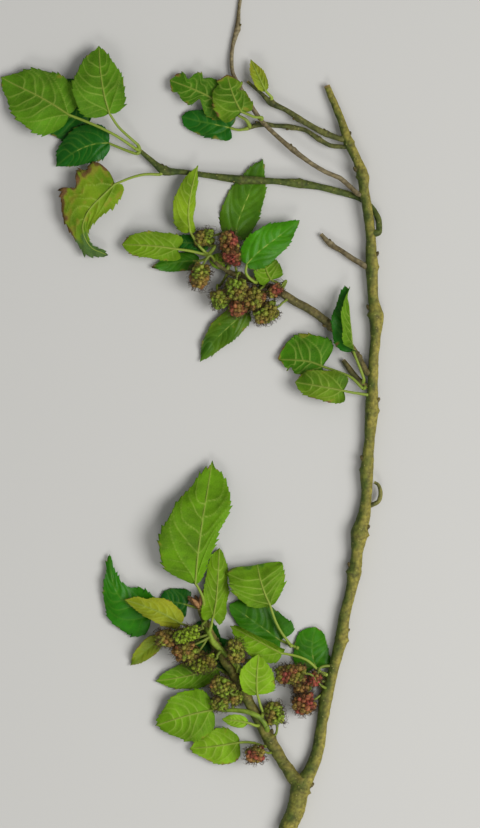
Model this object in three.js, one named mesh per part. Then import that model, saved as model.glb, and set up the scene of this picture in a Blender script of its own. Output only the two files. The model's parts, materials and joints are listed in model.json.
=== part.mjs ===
import * as THREE from "three";

// Mulberry sprig lying on a flat surface. Millimetres, +Z up, tips towards +Y.
// Every point is [x, y, z]; stem points carry a fourth number, the radius there.

const LEAF_THICKNESS = 0.6;
const RIB_DEPTH = 0.45;
const RIB_HALF_WIDTH = 0.35;
const PETIOLE_RADIUS = 0.55;
const PETIOLE_RINGS = 4;
const STALK_RADIUS = 0.5;
const MARGIN_WAVE = 0.45;

// Blade outlines: share of the length, share of the width, how far the margin sweeps back.
const OVATE = [
  [0, 0.26, 0.03], [0.07, 0.6, 0.06], [0.2, 0.9, 0.07], [0.36, 1, 0.04],
  [0.54, 0.9, 0], [0.71, 0.63, -0.02], [0.86, 0.3, -0.02], [0.95, 0.11, 0],
];
const BROAD = [
  [0, 0.5, 0.08], [0.06, 0.82, 0.12], [0.19, 0.99, 0.1], [0.38, 1, 0.04],
  [0.58, 0.93, 0], [0.75, 0.75, -0.02], [0.88, 0.48, -0.02], [0.96, 0.22, 0],
];
const DRAWN_OUT = [
  [0, 0.14, 0], [0.07, 0.42, 0.03], [0.19, 0.8, 0.04], [0.36, 1, 0.03],
  [0.55, 0.94, 0], [0.72, 0.68, -0.02], [0.86, 0.3, -0.02], [0.94, 0.09, 0],
];
const WEDGE = [
  [0, 0.5, 0.05], [0.09, 0.86, 0.08], [0.21, 1, 0.05], [0.34, 0.92, 0],
  [0.48, 0.66, 0], [0.64, 0.34, 0], [0.8, 0.16, 0], [0.93, 0.08, 0],
];
const FAN = [
  [0, 0.2, 0], [0.1, 0.42, 0.02], [0.26, 0.68, 0.04], [0.46, 0.88, 0],
  [0.66, 0.98, -0.05], [0.8, 1, -0.08], [0.9, 0.97, -0.06], [0.97, 0.7, -0.02],
];
const TAILED = [
  [0, 0.4, 0.06], [0.09, 0.84, 0.1], [0.2, 1, 0.06], [0.33, 0.96, 0],
  [0.46, 0.66, -0.02], [0.6, 0.3, -0.02], [0.78, 0.2, 0], [0.93, 0.12, 0],
];
const NARROW = [
  [0, 0.25, 0], [0.08, 0.55, 0.02], [0.22, 0.88, 0.03], [0.38, 1, 0.02],
  [0.55, 0.9, 0], [0.72, 0.62, 0], [0.86, 0.32, 0], [0.95, 0.12, 0],
];

// Body of a berry: share of the length, share of the width.
const BERRY_BODY = [[0, 0.45], [0.14, 0.8], [0.34, 1], [0.58, 1], [0.8, 0.82], [0.94, 0.5]];

const FINISH = {
  bark: { color: 0x7d7a45, roughness: 0.75 },
  greenwood: { color: 0x8fa046, roughness: 0.6 },
  under: { color: 0x7fa02f, roughness: 0.7 },
  upper: { color: 0x2f6a18, roughness: 0.45 },
  yellowed: { color: 0xa9a843, roughness: 0.7 },
  ripening: { color: 0x9c3b3a, roughness: 0.5 },
  unripe: { color: 0x7f8f3a, roughness: 0.55 },
};

const sprig = new THREE.Group();
sprig.name = "mulberry_sprig";

function vector(point) {
  return new THREE.Vector3(point[0], point[1], point[2]);
}

function add(name, geometry, finish) {
  const material = new THREE.MeshStandardMaterial({ ...FINISH[finish], metalness: 0 });
  const mesh = new THREE.Mesh(geometry, material);
  mesh.name = name;
  sprig.add(mesh);
}

/** A closed skin through rings of points, closed by a fan of triangles at each end. */
function skin(rings, startPole, endPole) {
  const columns = rings[0].length;
  const spans = rings.length - 1;
  const geometry = new THREE.CylinderGeometry(1, 1, spans, columns, spans);
  const position = geometry.attributes.position;
  const at = new THREE.Vector3();
  for (let i = 0; i < position.count; i += 1) {
    at.fromBufferAttribute(position, i);
    const ring = Math.round(spans / 2 - at.y);
    const turn = Math.round((Math.atan2(at.x, at.z) / (2 * Math.PI)) * columns);
    const pole = ring === 0 ? startPole : endPole;
    const target = Math.hypot(at.x, at.z) < 0.5 ? pole : rings[ring][(turn + columns) % columns];
    position.setXYZ(i, target.x, target.y, target.z);
  }
  geometry.computeVertexNormals();
  return geometry;
}

/** Left, up and forward directions for a section across a nearly level line. */
function sectionFrame(tangent) {
  const forward = tangent.clone().normalize();
  const up = new THREE.Vector3(0, 0, 1).addScaledVector(forward, -forward.z).normalize();
  const left = new THREE.Vector3().crossVectors(up, forward);
  return { left, up, forward };
}

/** Round ring: starts at the left and turns down, right and up. */
function roundRing(centre, tangent, radius, angles) {
  const { left, up } = sectionFrame(tangent);
  return angles.map((angle) => centre.clone()
    .addScaledVector(left, radius * Math.cos(angle))
    .addScaledVector(up, -radius * Math.sin(angle)));
}

function evenAngles(count) {
  return Array.from({ length: count }, (_, k) => (2 * Math.PI * k) / count);
}

/** A stem along its points, with rings between them; the tip is cut flat or drawn out. */
function stem(name, points, { sides = 8, perSpan = 2, tip = 0, finish = "bark" } = {}) {
  const curve = new THREE.CatmullRomCurve3(points.map(vector));
  const spans = points.length - 1;
  const count = spans * perSpan;
  const rings = [];
  for (let i = 0; i <= count; i += 1) {
    const t = i / count;
    const from = Math.min(spans - 1, Math.floor(t * spans));
    const share = t * spans - from;
    const ease = share * share * (3 - 2 * share);
    const radius = THREE.MathUtils.lerp(points[from][3], points[from + 1][3], ease);
    rings.push(roundRing(curve.getPoint(t), curve.getTangent(t), radius, evenAngles(sides)));
  }
  const end = curve.getPoint(1).addScaledVector(curve.getTangent(1), tip);
  add(name, skin(rings, curve.getPoint(0), end), finish);
}

/** Where a half blade is, a share of the way out: distance out, height and slope. */
function across(width, tilt, curl, share) {
  const steps = 8;
  let out = 0;
  let up = 0;
  for (let k = 0; k < steps; k += 1) {
    const slope = tilt + curl * share * ((k + 0.5) / steps);
    out += (Math.cos(slope) * width * share) / steps;
    up += (Math.sin(slope) * width * share) / steps;
  }
  return { out, up, slope: tilt + curl * share };
}

/** Section of a blade as nine [left, up, share out] points: left, down, right, up again. */
function bladeSection(left, right, wave, upperSideUp) {
  const half = LEAF_THICKNESS / 2;
  const opening = (Math.PI - left.tilt - right.tilt) / 2;
  const lean = (left.tilt - right.tilt) / 2;
  const inner = half / Math.max(0.25, Math.sin(opening));
  const folded = left.tilt + right.tilt > 0;
  const normal = [Math.sin(lean) * -1, Math.cos(lean)];
  const onSkin = (side, share, sign, lift) => {
    const at = across(side.width, side.tilt, side.curl, share);
    const out = at.out - Math.sin(at.slope) * half * sign;
    return [out * side.hand, at.up + Math.cos(at.slope) * half * sign + lift, share];
  };
  const middle = (offset, along) => [
    normal[0] * offset + normal[1] * along, normal[1] * offset - normal[0] * along, 0,
  ];
  const topOffset = folded ? inner : half;
  const bottomOffset = folded ? half : inner;
  const ridgeTop = topOffset + RIB_DEPTH;
  const ridgeBottom = -(bottomOffset + RIB_DEPTH);
  const bottom = upperSideUp
    ? [middle(ridgeBottom, RIB_HALF_WIDTH), middle(ridgeBottom, -RIB_HALF_WIDTH)]
    : [middle(-bottomOffset, 0)];
  const top = upperSideUp
    ? [middle(topOffset, 0)]
    : [middle(ridgeTop, -RIB_HALF_WIDTH), middle(ridgeTop, RIB_HALF_WIDTH)];
  return [
    onSkin(left, 1, 0, wave),
    onSkin(left, 0.5, -1, wave * 0.3), ...bottom, onSkin(right, 0.5, -1, -wave * 0.3),
    onSkin(right, 1, 0, -wave),
    onSkin(right, 0.5, 1, -wave * 0.3), ...top, onSkin(left, 0.5, 1, wave * 0.3),
  ];
}

/** Angles for the nine points of a petiole ring, matching the blade's columns. */
function petioleAngles(upperSideUp) {
  const arc = (count, start) => Array.from({ length: count }, (_, k) => start
    + (Math.PI * (k + 1)) / (count + 1));
  const lower = upperSideUp ? 4 : 3;
  return [0, ...arc(lower, 0), Math.PI, ...arc(7 - lower, Math.PI)];
}

/**
 * One leaf: petiole and blade grown whole. Widths and angles are given as seen from above,
 * looking from the base to the tip: tilt in degrees (over 90 folds the half back), curl the
 * further bend on the way out. Underside up unless side is "upper". A skew above 0 makes the
 * left half fuller near the base and the right half fuller near the tip.
 */
function leaf(name, petiole, rib, widths, { tilt = [6, 6], curl = [-14, -14], side = "under",
  outline = OVATE, finish = side, wave = MARGIN_WAVE, skew = 0 } = {}) {
  const radians = THREE.MathUtils.degToRad;
  const upperSideUp = side === "upper";
  const petioleCurve = new THREE.CatmullRomCurve3([...petiole, rib[0]].map(vector));
  const ribCurve = new THREE.CatmullRomCurve3(rib.map(vector));
  const length = ribCurve.getLength();
  const rings = [];
  for (let i = 0; i < PETIOLE_RINGS; i += 1) {
    const t = (0.9 * i) / (PETIOLE_RINGS - 1);
    const angles = petioleAngles(upperSideUp);
    const centre = petioleCurve.getPointAt(t);
    rings.push(roundRing(centre, petioleCurve.getTangentAt(t), PETIOLE_RADIUS, angles));
  }
  outline.forEach(([along, share, sweep], i) => {
    const centre = ribCurve.getPointAt(along);
    const frame = sectionFrame(ribCurve.getTangentAt(along));
    const halves = [0, 1].map((k) => ({
      width: widths[k] * share * (1 - (1 - 2 * k) * skew * (along - 0.45)),
      tilt: radians(tilt[k]) * Math.min(1, 1.3 * share),
      curl: radians(curl[k]),
      hand: 1 - 2 * k,
    }));
    const ripple = wave * Math.sin(2.1 * i + name.length);
    const section = bladeSection(halves[0], halves[1], ripple * share, upperSideUp);
    rings.push(section.map(([toLeft, toUp, out]) => centre.clone()
      .addScaledVector(frame.left, toLeft)
      .addScaledVector(frame.up, toUp)
      .addScaledVector(frame.forward, -sweep * length * out * out)));
  });
  add(name, skin(rings, petioleCurve.getPoint(0), ribCurve.getPoint(1)), finish);
}

/** One berry: a thin stalk up to its base, then the body from the base to the tip. */
function berry(name, stalk, tip, width, finish = "ripening") {
  const base = vector(stalk[stalk.length - 1]);
  const axis = vector(tip).sub(base);
  const lead = base.clone().addScaledVector(axis, -0.09);
  const curve = new THREE.CatmullRomCurve3([...stalk.slice(0, -1).map(vector), lead]);
  const angles = evenAngles(8);
  const rings = [0, 0.45, 0.92].map((t) => {
    const centre = curve.getPointAt(t);
    return roundRing(centre, curve.getTangentAt(t), STALK_RADIUS, angles);
  });
  BERRY_BODY.forEach(([along, share]) => {
    const centre = base.clone().addScaledVector(axis, along);
    rings.push(roundRing(centre, axis, (share * width) / 2, angles));
  });
  add(name, skin(rings, curve.getPoint(0), vector(tip)), finish);
}

function buildWood() {
  stem("main_stem", [
    [-0.5, 0, 3.3, 3.3], [1.8, 5, 3.3, 3.2], [3.6, 10, 3.3, 3.2], [4.9, 16, 3.3, 3.3],
    [7.6, 21, 3.1, 2.5], [9.8, 25.5, 2.8, 2.3], [11.4, 31, 2.6, 2.2], [12.8, 40, 2.6, 2],
    [14.2, 49, 2.8, 2.4], [15.8, 55, 2.8, 2], [17.6, 62, 2.8, 1.9], [19.6, 70, 2.8, 2.3],
    [21, 79, 2.8, 2], [23.5, 89, 2.9, 2], [24.4, 94, 3, 2.6], [25.2, 100, 3, 2.1],
    [26.1, 108, 3.2, 3], [27.6, 114, 3.1, 2.4], [28.7, 121, 3, 1.9], [28.9, 131, 3, 2.3],
    [29.8, 141, 3, 1.9], [30.6, 152.5, 3, 2.4], [31, 161, 3, 1.9], [31.3, 171, 3, 1.8],
    [32, 179, 3, 1.9], [32.2, 187, 3, 2.6], [31.2, 193, 3, 1.9], [30.6, 204, 3.2, 2.2],
    [30.3, 215, 3.8, 1.8], [29.2, 224, 4.6, 1.8], [27.8, 232, 4.8, 1.8], [27.4, 237, 4.6, 2.1],
    [25.4, 242.5, 4.2, 1.6], [22.4, 248.5, 3.8, 1.8], [20, 256, 3.2, 1.4], [17.6, 262, 2.6, 1.3],
    [14.5, 269.5, 2, 1.1],
  ], { sides: 10, perSpan: 1 });
  stem("fork_branch", [
    [2.3, 20.4, 3, 2.4], [-1.4, 26, 3, 2.1], [-6.3, 34, 3, 2.3], [-9.4, 39.5, 3.2, 1.9],
    [-12.8, 46, 3.6, 1.9], [-16.6, 53, 4, 2.1], [-21, 60.5, 4.2, 1.7], [-25.4, 67.5, 4.2, 1.8],
    [-28.4, 74, 4, 1.5], [-31, 81, 3.4, 1.3],
  ], { perSpan: 2 });
  stem("long_branch", [
    [33.3, 217.2, 4, 1.1], [33, 221.4, 2.8, 1.1], [30.6, 225.8, 1.3, 1], [26, 229, 1.2, 1],
    [20, 231, 1.6, 1.2], [12, 233, 2.2, 1.2], [4.5, 234.2, 2.8, 1.6], [-4, 235, 3.1, 1.1],
    [-16.5, 235.6, 3.4, 1.5], [-29, 237.2, 3, 1], [-38, 238.4, 2.8, 1], [-44, 238.8, 2.8, 1.6],
    [-48.4, 242.2, 2.6, 1], [-53, 246.2, 2.8, 0.7],
  ], { finish: "bark" });
  stem("thin_twig", [
    [24.8, 231, 5, 0.9], [19.5, 235.8, 5.2, 0.9], [14.5, 238, 5.4, 0.8], [9, 241.2, 5.4, 0.8],
    [2.5, 246, 5.2, 1], [-4, 251.6, 5.2, 0.8], [-9, 256.6, 5, 0.8], [-13, 262.4, 3.6, 0.8],
    [-17.2, 269.4, 2.6, 0.9], [-19.6, 275, 2, 0.7], [-19.4, 284, 1.4, 0.7],
    [-17.8, 290, 1.2, 1], [-17.2, 297, 1, 0.6], [-16.2, 304, 0.9, 0.6],
  ], { finish: "bark" });
  stem("upper_shoot_a", [
    [18.6, 250.5, 3.8, 1], [14.4, 252, 3.6, 1.1], [9.4, 254.6, 3.4, 1], [4.4, 257.6, 3.2, 1.1],
    [-0.6, 260.9, 3, 0.9], [-5.6, 263.2, 3, 1.2], [-9, 266.6, 2.8, 0.7], [-14.2, 271, 2.6, 0.5],
  ], { tip: 0.6 });
  stem("upper_shoot_b", [
    [19.8, 247.4, 3.4, 0.8], [15.8, 247.9, 3, 0.8], [11.6, 250.2, 2.6, 0.9],
    [7.2, 253.2, 2.2, 0.8], [2, 254.6, 1.8, 0.9], [-4.6, 255.2, 1.6, 0.8],
    [-9.4, 255.6, 1.5, 1], [-14, 254.2, 1.5, 0.7],
  ], { tip: 0.5 });
  stem("dead_stub", [
    [27.4, 205, 3, 1.1], [24, 207, 2.8, 1], [20, 209.8, 2.4, 0.9], [16, 212.2, 2, 1],
    [12.4, 216, 1.6, 0.7],
  ]);
  stem("mid_fruit_branch", [
    [28.2, 167, 2.6, 1.2], [25.8, 171.4, 2.4, 1.3], [22, 177, 2.4, 1.2], [16.2, 182.8, 2.6, 1.6],
    [9.6, 188, 2.8, 1.5], [2.8, 191.8, 3, 1.5], [-3.4, 195.6, 3.2, 1.4], [-9, 198.2, 3.4, 1],
    [-15, 200.2, 3.6, 1.2], [-21, 202.4, 3.8, 0.9], [-25.6, 205.6, 4, 0.7],
    [-28.4, 208.4, 4, 0.6],
  ]);
  stem("spur_stub", [
    [27.7, 161.8, 2.2, 0.9], [25.2, 164.2, 2, 1.1], [22.8, 167.2, 1.8, 1.1],
    [20.4, 170.6, 1.6, 0.8],
  ], { tip: 0.5 });
  stem("curled_shoot", [
    [31.2, 118.6, 3, 0.7], [33, 119.6, 3.2, 0.6], [33.8, 122.5, 3.4, 0.6], [33, 125.6, 3.4, 0.5],
    [31.5, 126.6, 3.4, 0.4],
  ], { tip: 0.3, finish: "greenwood" });
  stem("fork_shoot_high", [
    [-14.8, 56.4, 5.2, 0.9], [-18.4, 61.4, 6.8, 0.8], [-22.6, 65.6, 7, 0.8],
    [-26.6, 69.4, 6.8, 0.8], [-28, 72.6, 6.4, 0.7],
  ], { finish: "greenwood" });
  stem("fork_shoot_low", [
    [-7.2, 38.6, 5.6, 0.7], [-9, 41.4, 6.4, 0.7], [-12.6, 43.6, 6.6, 0.7],
    [-18.4, 44.6, 5.8, 0.6], [-23.4, 44.4, 5, 0.5],
  ], { finish: "greenwood" });
}

function buildTopLeaves() {
  leaf("leaf_a1", [[-54.9, 247, 3.4], [-60, 250.4, 6.4], [-69, 255, 6.8]],
    [[-78.5, 258.8, 6.4], [-84, 262.4, 6.2], [-91, 266.4, 5.2], [-97.6, 269.6, 3.8], [-103, 272.6, 2.4]],
    [11.8, 10], { tilt: [8, 2] });
  leaf("leaf_a2", [[-53.9, 248.4, 3.2], [-57.4, 251.4, 5], [-61.4, 255.4, 6]],
    [[-63.8, 259.4, 7.4], [-65.6, 266, 8.4], [-67, 275, 7.4], [-67.6, 283.6, 4.4]],
    [10.6, 7.4], { tilt: [6, 12] });
  leaf("leaf_a3", [[-66, 253, 1.8], [-68, 254, 1.6], [-69.6, 255, 1.4]],
    [[-71.5, 256.4, 1.4], [-77, 258, 1.5], [-84, 259.4, 1.3], [-90.6, 259.4, 1.2]],
    [8.4, 13.6], { side: "upper", tilt: [3, 3], curl: [-4, -6], outline: BROAD, wave: 0.2 });
  leaf("leaf_a3b", [[-54.6, 245, 3.2], [-58, 246.2, 3.4], [-61, 247.4, 3.4]],
    [[-64.4, 248.8, 3.4], [-70, 248.2, 3.6], [-77, 245.2, 3], [-83.2, 240.4, 1.6]],
    [6, 7.4], { side: "upper", tilt: [10, 6] });
  leaf("leaf_a4", [[-46.2, 237.4, 3.6], [-51, 237.4, 4.6], [-57, 235.8, 5.4]],
    [[-62, 233.6, 6], [-66.4, 229.4, 6.6], [-71.6, 223.6, 6.6], [-73.4, 217.4, 5.4],
      [-71, 211.6, 4.2], [-64.4, 208.4, 2.6]],
    [5, 13.6], { tilt: [10, 2], finish: "yellowed", outline: TAILED });
  leaf("leaf_b1", [[-15.4, 257.6, 3.6], [-17.6, 258.8, 3.8], [-20, 260.4, 4]],
    [[-22.4, 262, 4.2], [-28, 265.4, 4.8], [-35, 268.6, 4.6], [-42, 271.4, 3]],
    [6, 6.6], { tilt: [4, 4], outline: BROAD });
  leaf("leaf_b2", [[-9.4, 257.8, 7], [-11.4, 257.8, 7.4], [-14, 258.8, 7.6]],
    [[-16.4, 259.8, 7.6], [-18.4, 263.6, 7.6], [-20.2, 268.4, 6.8], [-21.4, 273, 5.6]],
    [7.8, 4.8], { tilt: [4, 4], outline: BROAD, finish: "yellowed" });
  leaf("leaf_b3", [[-15.6, 253.8, 1.8], [-17, 253.6, 1.8], [-18.4, 253.8, 1.8]],
    [[-20.6, 254.4, 1.8], [-26, 255.6, 1.9], [-32, 256.8, 1.6], [-38, 258.4, 1.2]],
    [5, 4.6], { side: "upper", tilt: [4, 4], curl: [0, 0], outline: BROAD, wave: 0.2 });
  leaf("leaf_b4", [[-5.6, 265.4, 4], [-6.2, 266, 4.4], [-6.8, 266.6, 4.6]],
    [[-7.6, 267.4, 4.8], [-9, 270.4, 5], [-11, 274.6, 4.4], [-13, 279, 3]],
    [2.6, 2.4], { tilt: [14, 14], outline: NARROW, finish: "yellowed", wave: 0.2 });
}

function buildMiddleLeaves() {
  leaf("leaf_c1", [[-29.4, 209.4, 4.6], [-31, 211, 5.4], [-33, 213.8, 5.8]],
    [[-34.8, 217, 6], [-35.4, 223.6, 6.4], [-34.2, 232, 6.2], [-32, 240.6, 4.6]],
    [5.4, 3], { tilt: [6, -30], curl: [-14, -40] });
  leaf("leaf_c2", [[-21, 205.4, 1.6], [-20.4, 208, 1.4], [-19.6, 211.4, 1]],
    [[-18.6, 215, 0.9], [-17, 222, 0.9], [-13.6, 230.4, 0.9], [-8.6, 243.2, 0.9]],
    [7, 6.4], { side: "upper", tilt: [1, 2], curl: [-2, 10], wave: 0.1 });
  leaf("leaf_c3", [[-12, 198.8, 6.4], [-14, 200.6, 7.6], [-14.8, 202.6, 8]],
    [[-14.2, 205.2, 8], [-9.6, 209.8, 8.2], [-3.4, 214.6, 7.4], [4.6, 220.8, 4.6]],
    [6.4, 5.6], { side: "upper", tilt: [8, 4] });
  leaf("leaf_c4", [[-30, 208.6, 5.4], [-33, 209.4, 6], [-36, 210, 6.4]],
    [[-39.6, 210.4, 6.6], [-45, 211.2, 6.8], [-52, 211.8, 6], [-59.4, 212.2, 4]],
    [4.4, 5], { tilt: [6, 6], outline: BROAD });
  leaf("leaf_c5", [[-29.6, 206.8, 3.2], [-30.4, 206.6, 2.6], [-31, 206.4, 2.2]],
    [[-32, 206.4, 2], [-37, 206.2, 1.9], [-42.6, 205.2, 1.7], [-48.6, 204, 1.2]],
    [3.4, 3.2], { side: "upper", tilt: [4, 4] });
  leaf("leaf_c6", [[-3.2, 198.2, 5.2], [-4.2, 198.8, 5.6], [-5, 199, 5.6]],
    [[-5.8, 199.6, 5.6], [-7, 202, 5.2], [-8, 205, 4.6], [-8.6, 208.4, 3.4]],
    [4.2, 5.2], { tilt: [2, 2], outline: BROAD, wave: 0.2 });
  leaf("leaf_c7", [[-8.6, 192.6, 2], [-10.4, 190.6, 2], [-12.4, 189.2, 2]],
    [[-14.6, 187.8, 2], [-20, 183.4, 2.4], [-26, 177.4, 2.2], [-31.2, 170, 1.2]],
    [4.6, 5], { side: "upper", tilt: [10, 10] });
  leaf("leaf_d1", [[27.6, 164.4, 4.8], [26.4, 167.6, 6], [25, 171, 6.4]],
    [[23.8, 174.2, 6.4], [23.4, 181, 6.6], [22.6, 189, 6], [21, 197.4, 3.6]],
    [7, 5.6], { side: "upper", tilt: [6, 128], curl: [-10, 10] });
  leaf("leaf_d2", [[27, 160.6, 4.6], [22.6, 164.8, 4.8], [17.6, 166.6, 4.6]],
    [[12.6, 168.4, 4.2], [8.2, 170, 4.2], [2.6, 170.6, 3.4], [-2.8, 170.8, 2]],
    [5, 9.6], { tilt: [4, 4], outline: BROAD });
  leaf("leaf_d3", [[28.2, 158.2, 4.4], [25.6, 158.6, 5.6], [22.8, 159, 6.6]],
    [[20, 159.6, 7.2], [14.6, 160.6, 7.8], [9, 161.6, 7.4], [3, 162.6, 6]],
    [4.8, 6], { tilt: [2, 2], outline: BROAD });
}

function buildLowerLeaves() {
  leaf("leaf_e1", [[-29.8, 83.4, 5.2], [-30.2, 85.4, 6.4], [-31.4, 88, 7.2]],
    [[-32.8, 90.4, 7.4], [-32, 100, 9], [-30.4, 112, 9], [-28.6, 123, 6.4], [-26.8, 134.4, 3]],
    [12.8, 11], { tilt: [5, 5], outline: DRAWN_OUT, skew: 0.9 });
  leaf("leaf_e2", [[-27.4, 74, 7], [-27, 75.6, 6.6], [-26.8, 77, 6]],
    [[-26.4, 78.4, 6.2], [-25.4, 84, 4.2], [-24.8, 92, 3.4], [-24.2, 103, 2.4]],
    [4.5, 4.4], { tilt: [6, -20], curl: [-10, -20], outline: BROAD });
  leaf("leaf_e3", [[0.6, 69, 3.2], [-2, 72.6, 3.6], [-4.4, 77.4, 4.4]],
    [[-6, 82.4, 5], [-8, 87, 5.8], [-9.6, 92, 5.6], [-10.6, 97, 4.2]],
    [11, 9], { tilt: [4, 6], outline: FAN });
  leaf("leaf_e4", [[-38, 73.4, 1.6], [-42, 74.4, 1.6], [-46, 76, 1.8]],
    [[-49, 78.6, 2], [-55.4, 81.6, 2.4], [-60.6, 86, 2.8], [-63, 92.6, 2.8], [-63.8, 100.6, 1.8]],
    [9.2, 7], { side: "upper", tilt: [4, 4], outline: WEDGE });
  leaf("leaf_e5", [[-31.4, 74, 4.8], [-34, 74.4, 6], [-36, 75, 6.4]],
    [[-38.4, 76, 6.8], [-44.4, 79.4, 7.2], [-51, 82, 6.4], [-58.4, 84.4, 4.8]],
    [3.8, 4.8], { tilt: [6, 6], finish: "yellowed" });
  leaf("leaf_e6", [[-38, 70, 2.8], [-40.4, 70.2, 2.8], [-43, 70.2, 2.8]],
    [[-45.6, 70, 2.8], [-49, 67.4, 3], [-52.6, 64, 2.4], [-56.4, 60.4, 1.2]],
    [3, 3.4], { side: "upper", tilt: [16, 16], curl: [0, 0], finish: "yellowed" });
  leaf("leaf_e7", [[-33, 81.6, 1.6], [-34.2, 81.8, 1.4], [-35, 82, 1.3]],
    [[-36.2, 82.4, 1.2], [-38.6, 83, 1.2], [-41.8, 83.4, 1.2], [-46, 84, 1]],
    [5.4, 5], { side: "upper", tilt: [2, 2], curl: [-2, -2], outline: BROAD, wave: 0.1 });
  leaf("leaf_e8", [[11, 59.2, 4.4], [7.6, 62.4, 5.6], [2.4, 64.4, 6]],
    [[-2, 65.2, 6.2], [-7.6, 68.2, 6.6], [-14, 71.6, 6], [-20.4, 74.8, 4.2]],
    [6, 5], { tilt: [4, 50], curl: [-10, 40] });
  leaf("leaf_e9", [[2.4, 67.4, 1.2], [1, 68, 1.2], [-0.6, 68.8, 1.2]],
    [[-2.4, 69.6, 1.2], [-7.6, 73.4, 1.8], [-14, 78, 2.2], [-20.6, 82.6, 1.6]],
    [4.8, 7.6], { side: "upper", tilt: [0, 4], curl: [-2, -6], outline: BROAD, wave: 0.2 });
  leaf("leaf_e10", [[-8.6, 44.2, 6], [-9.4, 46.2, 6.6], [-10, 48.4, 7.2]],
    [[-10.6, 50.6, 8], [-10.8, 54.6, 9], [-10.6, 59.4, 9.4], [-10, 65, 8.6]],
    [6, 6.4], { tilt: [4, 4], skew: -0.3 });
  leaf("leaf_e11", [[13, 56.8, 1], [12.2, 57.8, 1], [11.4, 58.8, 1]],
    [[10.4, 60, 1], [9.4, 64, 1.2], [9.4, 69, 1.2], [10.4, 74.4, 1]],
    [6.6, 5.6], { side: "upper", tilt: [1, 1], curl: [-2, -2], outline: BROAD, wave: 0.1 });
  leaf("leaf_e12", [[-21.8, 57.6, 1.2], [-23, 58.4, 1.2], [-24, 59, 1.2]],
    [[-25.2, 59.4, 1.2], [-32, 57.6, 1.6], [-39.4, 56, 1.6], [-47.4, 54.8, 1.2]],
    [5, 5.2], { tilt: [2, 4], curl: [-4, -6], wave: 0.2 });
  leaf("leaf_e13", [[-24.2, 45.4, 4.6], [-25.2, 45.2, 4.8], [-26, 45, 5]],
    [[-27, 44.6, 5], [-33, 43.4, 5.4], [-40, 41.4, 5], [-47.4, 38.8, 3.2]],
    [9.2, 8.6], { tilt: [4, 6] });
  leaf("leaf_e14", [[-8.9, 31.6, 3.6], [-11.6, 32.6, 3.8], [-14.6, 33, 3.8]],
    [[-17.6, 32.8, 3.8], [-22.4, 32, 3.8], [-28, 31.2, 3.4], [-34.8, 30.6, 2.2]],
    [6.6, 6.2], { tilt: [4, 4], skew: 0.4 });
  leaf("leaf_e15", [[-11.4, 39.2, 5.8], [-12.4, 39.6, 6.4], [-13.2, 40, 6.8]],
    [[-14.2, 40.2, 7], [-17, 40.8, 7.4], [-20, 41.2, 7.4], [-23.4, 41.6, 6.6]],
    [2.4, 2.4], { tilt: [20, 20], outline: NARROW, wave: 0.2 });
}

function buildBerries() {
  berry("berry_m1", [[-26.2, 206.8, 5.6], [-27.4, 208.2, 7.4], [-30, 204.8, 7.8]], [-32.6, 196.6, 6.8], 6);
  berry("berry_m2", [[-18.2, 203.2, 5.4], [-19, 206, 6.4], [-19.8, 208.6, 6.6]], [-21.6, 216.6, 6.6], 6);
  berry("berry_m3", [[-16.8, 201.6, 4.8], [-17.3, 202, 7], [-18.1, 199.6, 8.2]], [-18.2, 192.4, 7.8], 7.2);
  berry("berry_m4", [[-8.4, 197, 5.4], [-9, 196.4, 6.4], [-9.6, 195.8, 6.8]], [-13.6, 189.4, 6.6], 6.8);
  berry("berry_m5", [[-0.6, 191.8, 4.6], [-2, 190.8, 5.2], [-3.6, 189.4, 5.6]], [-11.4, 185.6, 5.4], 6.4);
  berry("berry_e1", [[-29.4, 76.4, 6.6], [-30.6, 75.2, 9.4], [-31.6, 73.6, 11.6]], [-40.4, 70.4, 11.6], 5,
    "unripe");
  berry("berry_e2", [[-28.6, 70.6, 7.8], [-30.4, 69.6, 8.6], [-33, 68.4, 8.6]], [-40.4, 64.6, 8], 6.8);
  berry("berry_e3", [[-24.4, 65.2, 8.4], [-25.2, 64, 8.4], [-25.8, 63, 8.2]], [-33.6, 60, 7.6], 5.4,
    "unripe");
  berry("berry_e4", [[-17.8, 58.6, 7.2], [-17.6, 60.4, 8.4], [-17.6, 62, 9.4]], [-19, 70.2, 9.8], 5.4,
    "unripe");
  berry("berry_e5", [[-18.4, 50.2, 6.4], [-19.2, 50.4, 7], [-20, 50.8, 7.4]], [-26.4, 55.6, 7.2], 6.6,
    "unripe");
  berry("berry_e6", [[-3.6, 36.8, 4.4], [-3.4, 38.2, 5], [-3.6, 39.6, 5.4]], [-5.4, 47.4, 5.6], 6,
    "unripe");
  berry("berry_e7", [[-6.4, 29.2, 5], [-7.4, 29.4, 6.4], [-8.4, 29.6, 7.2]], [-14.4, 28.2, 8.4], 5.4);
  berry("berry_e8", [[11.8, 54.2, 6.6], [9, 57.2, 7.6], [7, 58, 7.8]], [-4, 57.4, 7], 6.4);
  berry("berry_e9", [[11.4, 49.4, 4.4], [10.6, 48.8, 4.8], [9.8, 48.4, 5]], [2.6, 45.6, 5], 6.8);
}

buildWood();
buildTopLeaves();
buildMiddleLeaves();
buildLowerLeaves();
buildBerries();

const extent = new THREE.Box3().setFromObject(sprig);
const centre = extent.getCenter(new THREE.Vector3());
sprig.position.set(-centre.x, -centre.y, -extent.min.z);

export default sprig;
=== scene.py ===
import json
import logging
import math
from dataclasses import dataclass, field
from enum import Enum

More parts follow.
